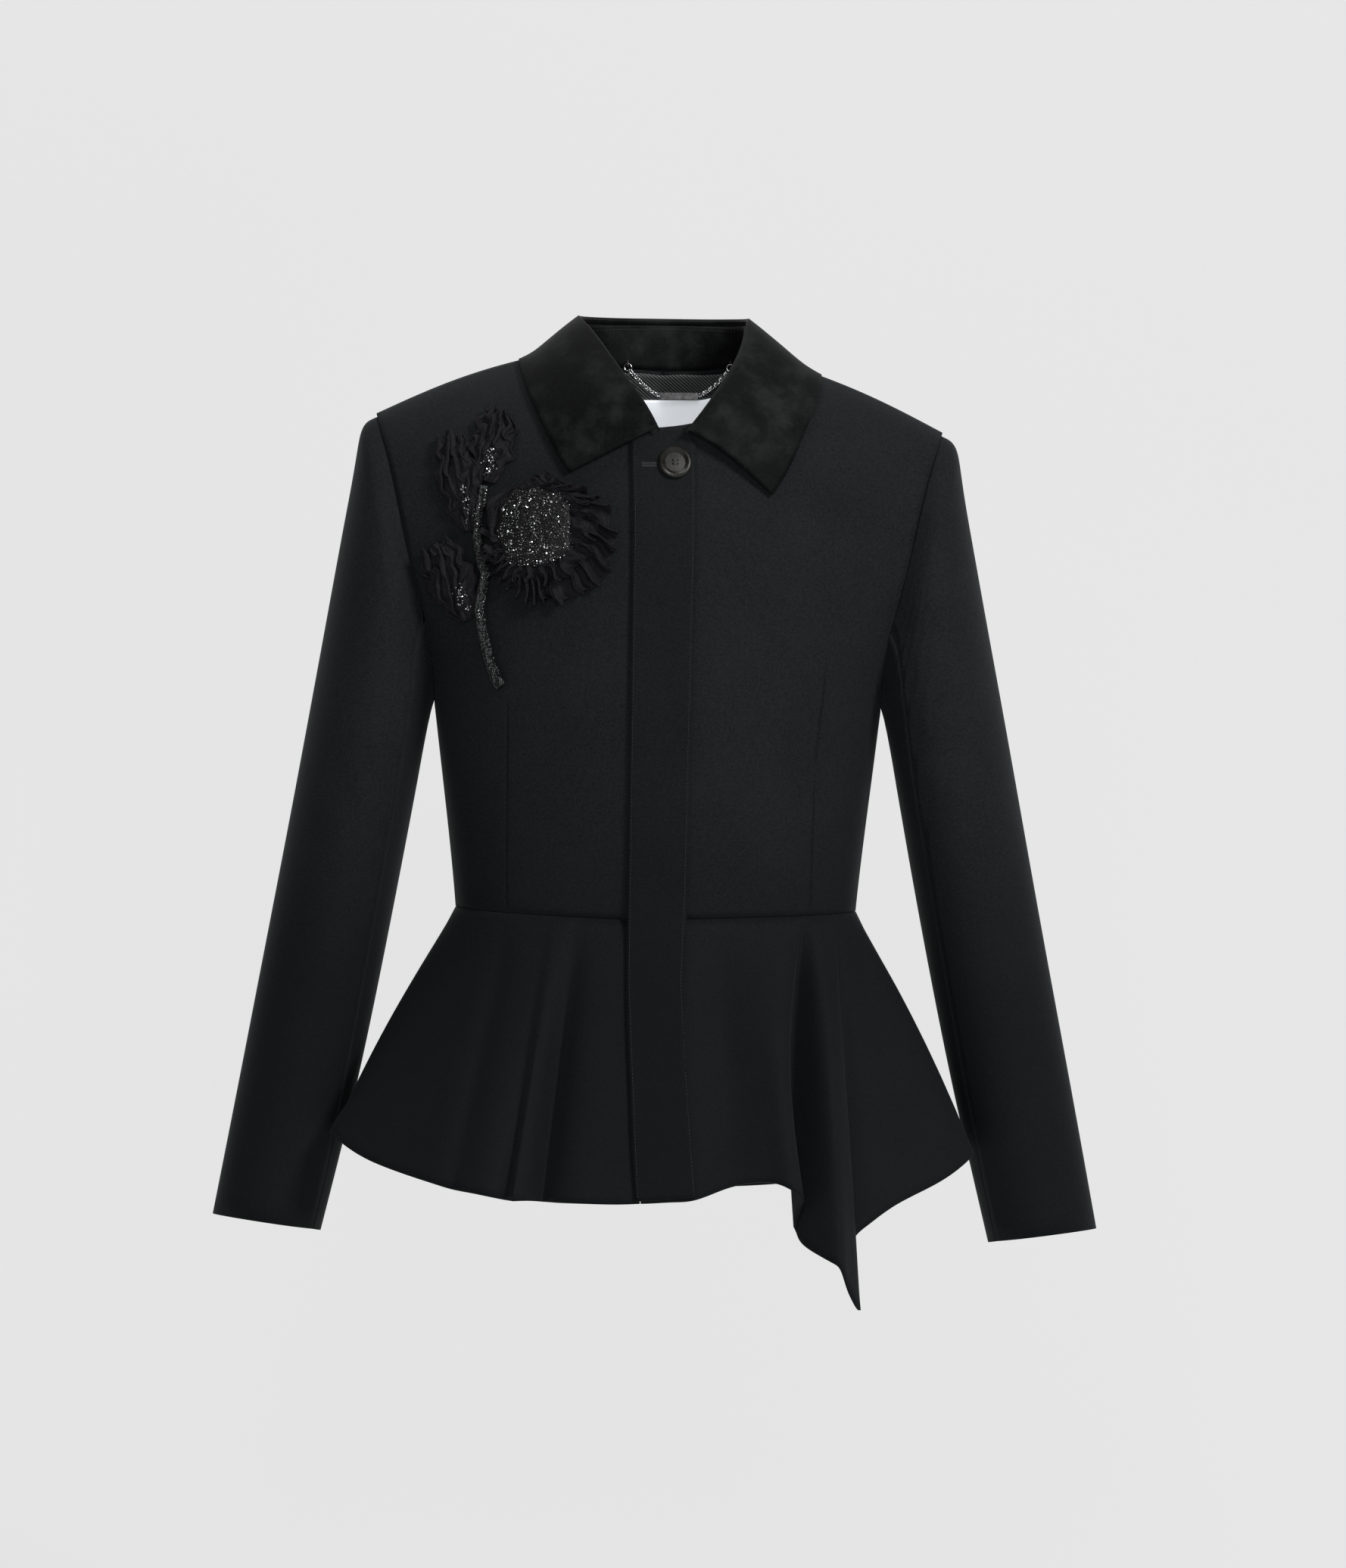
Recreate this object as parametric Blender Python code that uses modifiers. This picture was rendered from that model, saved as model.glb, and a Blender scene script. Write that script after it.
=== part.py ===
"""Peplum jacket: hollow cloth panels, sleeves, velvet collar, hanger chain, button and a cloth flower.

Metres, +Z up, front faces -Y, wearer's left at +X. The origin is the middle of the neck, level with the
side neck points.
"""
import math

import bmesh
import bpy
import numpy as np
from mathutils import Vector
from mathutils.bvhtree import BVHTree

SEAM = 0.0003          # gap left between pieces that are sewn together
WOOL = 0.0018          # wool cloth with its lining
VELVET = 0.0024        # two layers of velvet
WAIST_Z = -0.4115      # waist seam at the centre front
UNDERARM = (0.1636, 0.0, -0.257)
SHOULDER = (0.2078, 0.0, -0.048)
ARMHOLE_DEPTH = (0.052, 0.058)   # armhole in front of and behind the side seam
FRONT_OVERLAP = 0.0128           # the fronts meet this far to the wearer's right of the centre
SLEEVE_EASE = 0.0001             # more than the seam's gap between the armhole and the sleeve head
STAND_THICK = 0.0012
LINING_THICK = 0.0009
LABEL_THICK = 0.0005
RUFFLE_THICK = 0.0012
HANG_Z = (-0.35, -0.08)          # the jacket hangs straight below the first height and uneven above the second
HANG_LIFT = 0.0012               # lift of the shoulders
HANG_TILT = 0.022                # the wearer's right shoulder is higher by this much a metre
HANG_ASIDE = 0.0015              # the shoulders stand this far to the wearer's right
HANG_NECK = (0.07, 0.15)         # the neck stays where it is: half-widths between which the shift begins
SWING_Z = (0.33, 0.62)           # the left sleeve swings out between these depths
SWING = (0.0040, 0.0, -0.0030)
SIDE_BOW = 0.0045                # the peplum's sides bow outwards below the waist

JACKET = bpy.data.collections.new("peplum_jacket")


def clear_scene():
    """Empty the scene and link the jacket's collection."""
    for thing in list(bpy.data.objects):
        bpy.data.objects.remove(thing, do_unlink=True)
    bpy.context.scene.collection.children.link(JACKET)


def material(name, colour, roughness, metallic=0.0):
    """Plain Principled material."""
    made = bpy.data.materials.new(name)
    made.use_nodes = True
    shader = made.node_tree.nodes["Principled BSDF"]
    shader.inputs["Base Color"].default_value = (*colour, 1.0)
    shader.inputs["Roughness"].default_value = roughness
    shader.inputs["Metallic"].default_value = metallic
    return made


def add_object(name, points, faces, surface):
    """One closed mesh object with outward faces in the jacket's collection."""
    mesh = bpy.data.meshes.new(name)
    mesh.from_pydata([tuple(p) for p in points], [], faces)
    work = bmesh.new()
    work.from_mesh(mesh)
    bmesh.ops.recalc_face_normals(work, faces=work.faces)
    work.to_mesh(mesh)
    work.free()
    mesh.shade_smooth()
    mesh.set_sharp_from_angle(angle=math.radians(50))
    mesh.materials.append(surface)
    made = bpy.data.objects.new(name, mesh)
    JACKET.objects.link(made)
    return made


def smooth_table(table, count):
    """Catmull-Rom through a table's rows, sampled at count even steps."""
    rows = np.array(table, dtype=float)
    rows = np.vstack([2 * rows[0] - rows[1], rows, 2 * rows[-1] - rows[-2]])
    found = []
    for step in np.linspace(0, len(table) - 1, count):
        k = min(int(step), len(table) - 2)
        t = step - k
        a, b, c, d = rows[k:k + 4]
        found.append(0.5 * (2 * b + (c - a) * t + (2 * a - 5 * b + 4 * c - d) * t * t
                            + (3 * b - a - 3 * c + d) * t ** 3))
    return np.array(found)


EVERY = slice(None)


def grid_normals(grid, seams):
    """Unit normals of a grid; each seam is (rows, columns, axis) whose normals have nothing along that axis."""
    down = np.gradient(grid, axis=0)
    across = np.gradient(grid, axis=1)
    normals = np.cross(across, down)
    for rows, columns, axis in seams:
        normals[rows, columns, axis] = 0.0
    return normals / np.maximum(np.linalg.norm(normals, axis=2, keepdims=True), 1e-12)


def closed(name, outer, inner, surface):
    """Closed body between two grids of the same size."""
    rows, columns = outer.shape[:2]
    points = np.concatenate([outer.reshape(-1, 3), inner.reshape(-1, 3)])
    layer = rows * columns
    faces = []
    for i in range(rows - 1):
        for j in range(columns - 1):
            a, b = i * columns + j, i * columns + j + 1
            c, d = b + columns, a + columns
            faces += [(a, b, c, d), (layer + d, layer + c, layer + b, layer + a)]
    rim = [(0, j) for j in range(columns - 1)]
    rim += [(i, columns - 1) for i in range(rows - 1)]
    rim += [(rows - 1, j) for j in range(columns - 1, 0, -1)]
    rim += [(i, 0) for i in range(rows - 1, 0, -1)]
    for (i, j), (k, m) in zip(rim, rim[1:] + rim[:1]):
        a, b = i * columns + j, k * columns + m
        faces.append((b, a, layer + a, layer + b))
    return add_object(name, points, faces, surface)


OUTER = {}   # outer grid and its normals of each wall made so far


def shell(name, grid, thickness, surface, seams=(), outward=1.0, normals=None):
    """Wall between a grid of points and the same grid moved inwards, closed round its rim."""
    grid = np.array(grid, dtype=float)
    if normals is None:
        normals = outward * grid_normals(grid, seams)
    OUTER[name] = (grid, normals)
    return closed(name, grid, grid - thickness * normals, surface)


def eased(value, start, end):
    """Smooth step from 0 at start to 1 at end."""
    t = np.clip((value - start) / (end - start), 0.0, 1.0)
    return t * t * (3 - 2 * t)


def hung(points):
    """The points as the jacket hangs, its shoulders a little tilted and aside."""
    points = np.array(points, dtype=float)
    upper = eased(points[..., 2], *HANG_Z)
    across = points[..., 0].copy()
    points[..., 0] -= HANG_ASIDE * upper * eased(abs(across), *HANG_NECK)
    points[..., 2] += upper * (HANG_LIFT - HANG_TILT * across)
    return points


def mirrored(grid):
    """The grid across the centre plane."""
    return np.array(grid) * np.array([-1.0, 1.0, 1.0])


ARMHOLE_SEAM = (  # seam in front view: z, half-width
    (-0.257, 0.1636), (-0.234, 0.1638), (-0.200, 0.1685), (-0.168, 0.178),
    (-0.145, 0.1837), (-0.122, 0.188), (-0.080, 0.1975), (-0.048, 0.2078))


def armhole(angle):
    """Point of the left armhole: angle 0 at the shoulder, pi at the underarm, front side positive."""
    z = (SHOULDER[2] + UNDERARM[2]) / 2 + (SHOULDER[2] - UNDERARM[2]) / 2 * math.cos(angle)
    x = np.interp(z, [row[0] for row in ARMHOLE_SEAM], [row[1] for row in ARMHOLE_SEAM])
    depth = ARMHOLE_DEPTH[0] if math.sin(angle) > 0 else ARMHOLE_DEPTH[1]
    return np.array([x, -depth * math.sin(angle), z])


FRONT_YOKE = (  # beside the neckline: neck x, y, z, armhole angle, turn of the section, lift
    (0.0740, 0.0000, 0.0030, 0, 8, 0.0050),
    (0.0725, -0.0200, -0.0060, 26, 22, 0.0045),
    (0.0650, -0.0440, -0.0200, 46, 36, 0.0035),
    (0.0500, -0.0640, -0.0360, 62, 48, 0.0020),
    (0.0280, -0.0790, -0.0490, 76, 58, 0.0010),
    (0.0000, -0.0850, -0.0540, 88, 64, 0.0),
)
FRONT_BODY = (  # below the neckline: centre y, centre z, armhole angle, turn, lift
    (-0.0850, -0.0540, 88, 64, 0.0),
    (-0.0990, -0.0950, 108, 70, 0.0),
    (-0.1090, -0.1400, 128, 76, 0.0),
    (-0.1150, -0.1950, 152, 84, 0.0),
    (-0.1160, -0.2570, 180, 90, 0.0),
)
FRONT_WAIST = (  # centre y, centre z, side x, side z
    (-0.1160, -0.2570, 0.1636, -0.2570),
    (-0.1090, -0.3020, 0.1583, -0.3010),
    (-0.0990, -0.3480, 0.1527, -0.3460),
    (-0.0900, -0.3860, 0.1484, -0.3850),
    (-0.0860, WAIST_Z, 0.1468, -0.4030),
)
BACK_YOKE = (
    (0.0740, 0.0000, 0.0030, 0, 8, 0.0050),
    (0.0700, 0.0230, -0.0010, 26, 24, 0.0045),
    (0.0520, 0.0400, -0.0050, 46, 38, 0.0035),
    (0.0270, 0.0500, -0.0080, 60, 48, 0.0020),
    (0.0000, 0.0530, -0.0090, 72, 56, 0.0),
)
BACK_BODY = (
    (0.0530, -0.0090, 72, 56, 0.0),
    (0.0800, -0.0550, 92, 66, 0.0),
    (0.0980, -0.1050, 114, 74, 0.0),
    (0.1060, -0.1650, 142, 82, 0.0),
    (0.1010, -0.2570, 180, 90, 0.0),
)
BACK_WAIST = (
    (0.1010, -0.2570, 0.1636, -0.2570),
    (0.0860, -0.3020, 0.1583, -0.3010),
    (0.0710, -0.3480, 0.1527, -0.3460),
    (0.0620, -0.3860, 0.1484, -0.3850),
    (0.0590, -0.4060, 0.1468, -0.4030),
)
YOKE_ROWS = 8
BODY_ROWS = 7
WAIST_ROWS = 5
UNDERARM_ROW = YOKE_ROWS + BODY_ROWS - 2


def section(inner, outer, turn, lift, columns):
    """Points from inner to outer along an elliptic turn, raised a little between them."""
    angle = math.radians(max(turn, 1.0))
    found = []
    for s in np.linspace(0, 1, columns):
        along = math.sin(angle * s) / math.sin(angle)
        back = (1 - math.cos(angle * s)) / (1 - math.cos(angle))
        point = inner + (outer - inner) * np.array([along, back, s])
        point[2] += lift * math.sin(math.pi * s)
        found.append(point)
    return found


def bodice_half(yoke, body, waist, facing, centre, columns=9):
    """Grid of one half panel on the wearer's left; facing is 1 for the front and -1 for the back."""
    rows = []
    for x, y, z, angle, turn, lift in smooth_table(yoke, YOKE_ROWS):
        outer = armhole(facing * math.radians(angle))
        share = 1 - x / yoke[0][0]
        inner = np.array([max(x, 0) + centre * share ** 6, y, z])
        rows.append(section(inner, outer, turn, lift, columns))
    for y, z, angle, turn, lift in smooth_table(body, BODY_ROWS)[1:]:
        rows.append(section(np.array([centre, y, z]), armhole(facing * math.radians(angle)), turn, lift, columns))
    for y, z, side_x, side_z in smooth_table(waist, WAIST_ROWS)[1:]:
        rows.append(section(np.array([centre, y, z]), np.array([side_x, 0.0, side_z]), 90, 0.0, columns))
    grid = np.array(rows)
    seam_side = -facing * SEAM / 2
    grid[:, :, 1] = np.minimum(grid[:, :, 1], seam_side) if facing > 0 else np.maximum(grid[:, :, 1], seam_side)
    return grid


def make_bodice(wool):
    """Two fronts that meet under the band and two backs that meet at the centre-back seam."""
    left_front = bodice_half(FRONT_YOKE, FRONT_BODY, FRONT_WAIST, 1, -FRONT_OVERLAP + SEAM / 2)
    right_front = mirrored(bodice_half(FRONT_YOKE, FRONT_BODY, FRONT_WAIST, 1, FRONT_OVERLAP + SEAM / 2))
    left_back = bodice_half(BACK_YOKE, BACK_BODY, BACK_WAIST, -1, SEAM / 2)
    shoulder_seam = (0, EVERY, 1)
    side_seam = (slice(UNDERARM_ROW, None), -1, 1)
    centre_seam = (EVERY, 0, 0)
    seams = (shoulder_seam, side_seam, centre_seam)
    shell("front_left", hung(left_front), WOOL, wool, seams, outward=-1)
    shell("front_right", hung(right_front), WOOL, wool, seams, outward=1)
    shell("back_left", hung(left_back), WOOL, wool, seams, outward=1)
    shell("back_right", hung(mirrored(left_back)), WOOL, wool, seams, outward=-1)


SLEEVE = (  # front view: outer x, z; inner x, z; half depth; y of the middle; front seam; back seam, degrees
    (0.2078, -0.0480, 0.1636, -0.2570, 0.052, 0.000, 115, -112),
    (0.2165, -0.0520, 0.1641, -0.2592, 0.057, 0.000, 118, -114),
    (0.2207, -0.0625, 0.1648, -0.2622, 0.060, -0.001, 121, -116),
    (0.2230, -0.0820, 0.1662, -0.2670, 0.062, -0.002, 125, -118),
    (0.2300, -0.1200, 0.1700, -0.2860, 0.062, -0.003, 131, -120),
    (0.2420, -0.1860, 0.1775, -0.3280, 0.060, -0.002, 135, -122),
    (0.2580, -0.2720, 0.1880, -0.3860, 0.056, 0.002, 137, -124),
    (0.2745, -0.3620, 0.2010, -0.4560, 0.051, 0.008, 139, -126),
    (0.2910, -0.4520, 0.2140, -0.5220, 0.047, 0.015, 142, -128),
    (0.3080, -0.5450, 0.2280, -0.5830, 0.044, 0.021, 146, -130),
    (0.3240, -0.6310, 0.2425, -0.6424, 0.042, 0.024, 149, -132),
)
HEAD_FOLLOWS_ARMHOLE = (1.0, 0.7, 0.4, 0.15)
SLEEVE_ROWS = 13


def sleeve_point(row, follow, angle):
    """Point of the left sleeve on one ring; angle 0 is the outer edge, pi the inner edge, front side positive."""
    outer = np.array([row[0], row[5], row[1]])
    inner = np.array([row[2], row[5], row[3]])
    point = (outer + inner) / 2 + (outer - inner) / 2 * math.cos(angle)
    point[1] -= row[4] * math.sin(angle)
    at_armhole = SLEEVE[0]
    plain_x = (at_armhole[0] + at_armhole[2]) / 2 + (at_armhole[0] - at_armhole[2]) / 2 * math.cos(angle)
    seam = armhole(angle)
    point[0] += follow * (seam[0] - plain_x)
    point[1] += follow * (seam[1] + ARMHOLE_DEPTH[0] * math.sin(angle))
    return point


def sleeve_grid(under, columns):
    """Outer surface of the top or the under sleeve, with its normals."""
    table = smooth_table(SLEEVE, SLEEVE_ROWS)
    table_steps = np.linspace(0, len(SLEEVE) - 1, SLEEVE_ROWS)
    half_seam = 0.004
    points, turns = [], []
    for row, step in zip(table, table_steps):
        follow = np.interp(step, range(5), (*HEAD_FOLLOWS_ARMHOLE, 0.0))
        front, back = math.radians(row[6]), math.radians(row[7])
        first, last = (front + half_seam, back + math.tau - half_seam) if under else (
            back + half_seam, front - half_seam)
        angles = np.linspace(first, last, columns)
        points.append([sleeve_point(row, follow, a) for a in angles])
        turns.append([sleeve_point(row, follow, a + 0.02) - sleeve_point(row, follow, a - 0.02) for a in angles])
    grid = np.array(points)
    normals = np.cross(np.array(turns), np.gradient(grid, axis=0))
    normals /= np.linalg.norm(normals, axis=2, keepdims=True)
    centre = grid.mean(axis=1, keepdims=True)
    if under:
        centre[..., 0] += 0.03
    normals *= np.sign(np.sum(normals * (grid - centre)))
    grid[..., 0] += SEAM + SLEEVE_EASE
    return grid, normals


def make_sleeves(wool):
    """Top and under sleeve for each arm, open at the armhole and the cuff."""
    for name, under, columns in (("top", False, 11), ("under", True, 7)):
        grid, normals = sleeve_grid(under, columns)
        swung = grid + eased(-grid[..., 2:], *SWING_Z) * np.array(SWING)
        shell(f"sleeve_{name}_left", hung(swung), WOOL, wool, normals=normals)
        shell(f"sleeve_{name}_right", hung(mirrored(grid)), WOOL, wool, normals=mirrored(normals))


PEPLUM_RIGHT = (  # viewer's left, x towards the side: waist x; hem x, y, z; bow x, y half way down
    (0.0132, 0.0087, -0.1500, -0.6160, 0.000, 0.000),
    (0.0233, 0.0300, -0.1500, -0.6166, 0.000, 0.000),
    (0.0400, 0.0561, -0.1480, -0.6161, 0.000, 0.000),
    (0.0480, 0.0700, -0.1400, -0.6160, 0.000, 0.001),
    (0.0560, 0.0800, -0.1290, -0.6155, 0.001, 0.004),
    (0.0640, 0.0900, -0.1400, -0.6150, 0.001, 0.001),
    (0.0720, 0.1015, -0.1460, -0.6150, 0.000, -0.001),
    (0.0780, 0.1070, -0.1360, -0.6145, 0.000, -0.001),
    (0.0840, 0.1140, -0.1400, -0.6130, 0.000, 0.000),
    (0.0960, 0.1300, -0.1370, -0.6100, 0.000, 0.000),
    (0.1060, 0.1440, -0.1220, -0.6080, 0.000, 0.001),
    (0.1160, 0.1600, -0.1180, -0.6035, 0.000, -0.001),
    (0.1295, 0.1860, -0.0920, -0.5960, 0.001, -0.002),
    (0.1392, 0.2150, -0.0660, -0.5850, 0.003, -0.002),
    (0.1451, 0.2367, -0.0360, -0.5690, SIDE_BOW, -0.001),
    (0.1468, 0.2220, 0.0000, -0.5760, SIDE_BOW, 0.000),
)
PEPLUM_LEFT = (  # viewer's right: the same columns, with the deep pleat, the roll and the hanging tail
    (-0.0127, -0.0082, -0.1500, -0.6160, 0.000, 0.000),
    (0.0100, 0.0120, -0.1505, -0.6145, 0.000, 0.000),
    (0.0256, 0.0317, -0.1500, -0.6128, 0.000, 0.000),
    (0.0450, 0.0589, -0.1450, -0.6022, 0.000, 0.005),
    (0.0660, 0.0844, -0.1490, -0.5989, -0.001, 0.001),
    (0.0900, 0.1020, -0.1560, -0.6045, -0.006, -0.003),
    (0.1050, 0.1106, -0.1500, -0.6110, -0.009, -0.003),
    (0.1075, 0.1090, -0.1370, -0.6180, -0.009, 0.006),
    (0.1090, 0.1050, -0.1260, -0.6320, -0.007, 0.010),
    (0.1110, 0.1095, -0.1350, -0.6444, -0.002, 0.006),
    (0.1150, 0.1270, -0.1520, -0.6550, 0.001, -0.002),
    (0.1210, 0.1385, -0.1580, -0.6617, 0.002, -0.005),
    (0.1270, 0.1450, -0.1520, -0.6790, 0.003, -0.002),
    (0.1300, 0.1528, -0.1400, -0.6920, 0.001, 0.002),
    (0.1320, 0.1462, -0.1260, -0.6670, 0.000, 0.006),
    (0.1340, 0.1455, -0.1170, -0.6420, 0.001, 0.007),
    (0.1375, 0.1620, -0.1080, -0.6270, 0.001, 0.004),
    (0.1416, 0.1820, -0.0880, -0.6135, 0.001, 0.000),
    (0.1440, 0.2150, -0.0640, -0.5965, 0.003, -0.002),
    (0.1458, 0.2361, -0.0360, -0.5783, SIDE_BOW, -0.001),
    (0.1468, 0.2220, 0.0000, -0.5800, SIDE_BOW, 0.000),
)
PEPLUM_ROWS = 9
BACK_HEM_DEPTH = 0.165
BACK_HEM_DROP = 0.030
BACK_WAVES = 5


def waist_point(x, edge, facing=1):
    """Point of the bodice's lower edge at a distance x from the centre plane, for a panel that starts at edge."""
    table = FRONT_WAIST if facing > 0 else BACK_WAIST
    depth, centre_z, side_x, side_z = table[-1]
    share = math.asin(min(max((x - edge) / (side_x - edge), 0.0), 1.0)) / (math.pi / 2)
    return np.array([x, depth * math.cos(share * math.pi / 2), centre_z + (side_z - centre_z) * share])


def rib_grid(ribs):
    """Rows from waist to hem; each rib is a waist point, a hem point and a bow."""
    grid = []
    for t in np.linspace(0, 1, PEPLUM_ROWS):
        grid.append([waist + (hem - waist) * t + bow * math.sin(math.pi * t) for waist, hem, bow in ribs])
    grid = np.array(grid)
    grid[..., 2] -= SEAM * 1.5
    return grid


def peplum_front(table, edge, ribs_between):
    """Grid of one front peplum with its folds, on the wearer's left."""
    ribs = []
    for x, hem_x, hem_y, hem_z, bow_x, bow_y in smooth_table(table, (len(table) - 1) * ribs_between + 1):
        ribs.append((waist_point(x, edge), np.array([hem_x, hem_y, hem_z]), np.array([bow_x, bow_y, 0.0])))
    grid = rib_grid(ribs)
    grid[..., 1] = np.minimum(grid[..., 1], -SEAM / 2)
    return grid


def peplum_back():
    """Grid of the back peplum from the left side seam round to the right one, with soft cone folds."""
    ribs = []
    for turn in np.linspace(0, math.pi, 31):
        away = math.sin(turn)
        side_x, side_z = (PEPLUM_LEFT[-1][1], PEPLUM_LEFT[-1][3]) if turn < math.pi / 2 else (
            PEPLUM_RIGHT[-1][1], PEPLUM_RIGHT[-1][3])
        wave = 1 + 0.045 * away * math.cos(2 * BACK_WAVES * turn)
        hem = np.array([side_x * math.cos(turn) * wave, BACK_HEM_DEPTH * away * wave, side_z - BACK_HEM_DROP * away ** 1.5])
        waist = waist_point(abs(FRONT_WAIST[-1][2] * math.cos(turn)), 0.0, -1)
        waist[0] *= math.copysign(1.0, math.cos(turn))
        ribs.append((waist, hem, np.array([SIDE_BOW * math.cos(turn), 0.0, 0.0])))
    grid = rib_grid(ribs)
    grid[..., 1] = np.maximum(grid[..., 1], SEAM / 2)
    return grid


def make_peplum(wool):
    """Two front peplums that meet under the band, and the back peplum."""
    side_seam = (EVERY, -1, 1)
    centre_seam = (EVERY, 0, 0)
    left = peplum_front(PEPLUM_LEFT, -FRONT_OVERLAP + SEAM / 2, 3)
    right = mirrored(peplum_front(PEPLUM_RIGHT, FRONT_OVERLAP + SEAM / 2, 2))
    shell("peplum_left", left, WOOL, wool, (side_seam, centre_seam), outward=-1)
    shell("peplum_right", right, WOOL, wool, (side_seam, centre_seam), outward=1)
    shell("peplum_back", peplum_back(), WOOL, wool, (side_seam, (EVERY, 0, 1)), outward=-1)


class Cloth:
    """Outer faces of finished walls, which others lie on."""

    def __init__(self, *names):
        points, faces = [], []
        for name in names:
            grid, normals = OUTER[name]
            rows, columns = grid.shape[:2]
            start = len(points)
            points += [Vector(p) for p in grid.reshape(-1, 3)]
            across, down = grid[0, 1] - grid[0, 0], grid[1, 0] - grid[0, 0]
            flip = np.dot(np.cross(across, down), normals[0, 0]) < 0
            for i in range(rows - 1):
                for j in range(columns - 1):
                    a = start + i * columns + j
                    face = (a, a + 1, a + columns + 1, a + columns)
                    faces.append(face[::-1] if flip else face)
        self.tree = BVHTree.FromPolygons(points, faces)

    def seen(self, x, z, lift, start_y=-1.0, facing=1.0):
        """Point that a level ray meets, moved out of the cloth towards where the ray came from."""
        place, normal, _, _ = self.tree.ray_cast(Vector((x, start_y, z)), Vector((0.0, facing, 0.0)))
        if place is None:
            place, normal, _, _ = self.tree.ray_cast(Vector((x + 2 * SEAM, start_y, z)), Vector((0.0, facing, 0.0)))
        if place is None:
            return None
        if normal.y * facing > 0:
            normal = -normal
        return np.array(place + normal * lift)

    def clear(self, point, lift):
        """The point, moved out until it stands at least lift from the cloth."""
        place, normal, _, _ = self.tree.find_nearest(Vector(point))
        short = lift - (Vector(point) - place).dot(normal)
        return np.array(point) if short <= 0 else np.array(place + normal * lift)


BAND_THICK = 0.0018
BAND_EDGES = (  # z, left line x, right line x
    (-0.0540, -0.0212, 0.0185), (-0.059, -0.0212, 0.0225), (-0.066, -0.0211, 0.0250), (-0.090, -0.0203, 0.0258),
    (-0.125, -0.0195, 0.0261), (-0.200, -0.0196, 0.0253), (-0.290, -0.0199, 0.0240), (-0.392, -0.0202, 0.0228),
    (-0.456, -0.0202, 0.0207), (-0.503, -0.0185, 0.0215), (-0.540, -0.0164, 0.0246), (-0.577, -0.0146, 0.0278),
    (-0.6122, -0.0115, 0.0320))
BAND_HEM_SLANT = 0.0035   # the band's hem is lower at its left line


def make_band(wool):
    """Fly-front band from the neck to the hem, laid on both fronts and both peplums."""
    cloth = Cloth("front_left", "front_right", "peplum_left", "peplum_right")
    lift = BAND_THICK + 3.5 * SEAM
    table = smooth_table(BAND_EDGES, 31)
    grid = []
    for z, left, right in table:
        slant = BAND_HEM_SLANT * max(0.0, (WAIST_Z - z) / (WAIST_Z - table[-1][0]))
        grid.append([cloth.seen(left + (right - left) * s, z - slant * (1 - s), lift)
                     for s in np.linspace(0, 1, 5)])
    shell("front_band", grid, BAND_THICK, wool, outward=-1)


COLLAR = (  # roll line x, y, z; outer edge x, y, z; neckline share (0 front, 1 side, 2 back) of the stand; bow
    (-0.0036, -0.0950, -0.0514, -0.0655, -0.1100, -0.0860, 0.03, 0.0004),
    (-0.0150, -0.0860, -0.0310, -0.0765, -0.1050, -0.0690, 0.25, 0.004),
    (-0.0340, -0.0620, -0.0050, -0.0860, -0.0850, -0.0500, 0.48, 0.004),
    (-0.0530, -0.0300, 0.0210, -0.0960, -0.0500, -0.0290, 0.72, 0.0025),
    (-0.0620, 0.0020, 0.0310, -0.1045, 0.0000, -0.0040, 1.05, 0.001),
    (-0.0590, 0.0300, 0.0312, -0.0960, 0.0450, -0.0120, 1.35, 0.001),
    (-0.0360, 0.0540, 0.0310, -0.0580, 0.0800, -0.0200, 1.70, 0.003),
    (0.0000, 0.0620, 0.0310, 0.0000, 0.0920, -0.0230, 2.00, 0.003),
    (0.0370, 0.0540, 0.0308, 0.0600, 0.0800, -0.0210, 1.70, 0.003),
    (0.0600, 0.0300, 0.0306, 0.1010, 0.0450, -0.0140, 1.35, 0.001),
    (0.0640, 0.0020, 0.0290, 0.1160, 0.0000, -0.0120, 1.05, 0.001),
    (0.0590, -0.0300, 0.0080, 0.1105, -0.0500, -0.0370, 0.72, 0.0025),
    (0.0480, -0.0580, -0.0130, 0.1020, -0.0830, -0.0590, 0.48, 0.004),
    (0.0345, -0.0830, -0.0340, 0.0930, -0.1050, -0.0800, 0.25, 0.004),
    (0.0200, -0.0950, -0.0530, 0.0807, -0.1150, -0.1010, 0.05, 0.004),
)
COLLAR_COLUMNS = 36
STAND_LEAST_HEIGHT = 0.013   # nearer the front the fall alone closes the neck
FALL_STEPS = (0.0, 0.06, 0.2, 0.4, 0.6, 0.8, 1.0)


def neck_point(share, side):
    """Neckline point: share 0 at the centre front, 1 at the side, 2 at the centre back."""
    table = FRONT_YOKE[::-1] if share <= 1 else BACK_YOKE
    along = (share if share <= 1 else share - 1) * (len(table) - 1)
    k = min(int(along), len(table) - 2)
    start, end = np.array(table[k][:3]), np.array(table[k + 1][:3])
    return hung((start + (end - start) * (along - k)) * np.array([side, 1, 1]))


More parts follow.
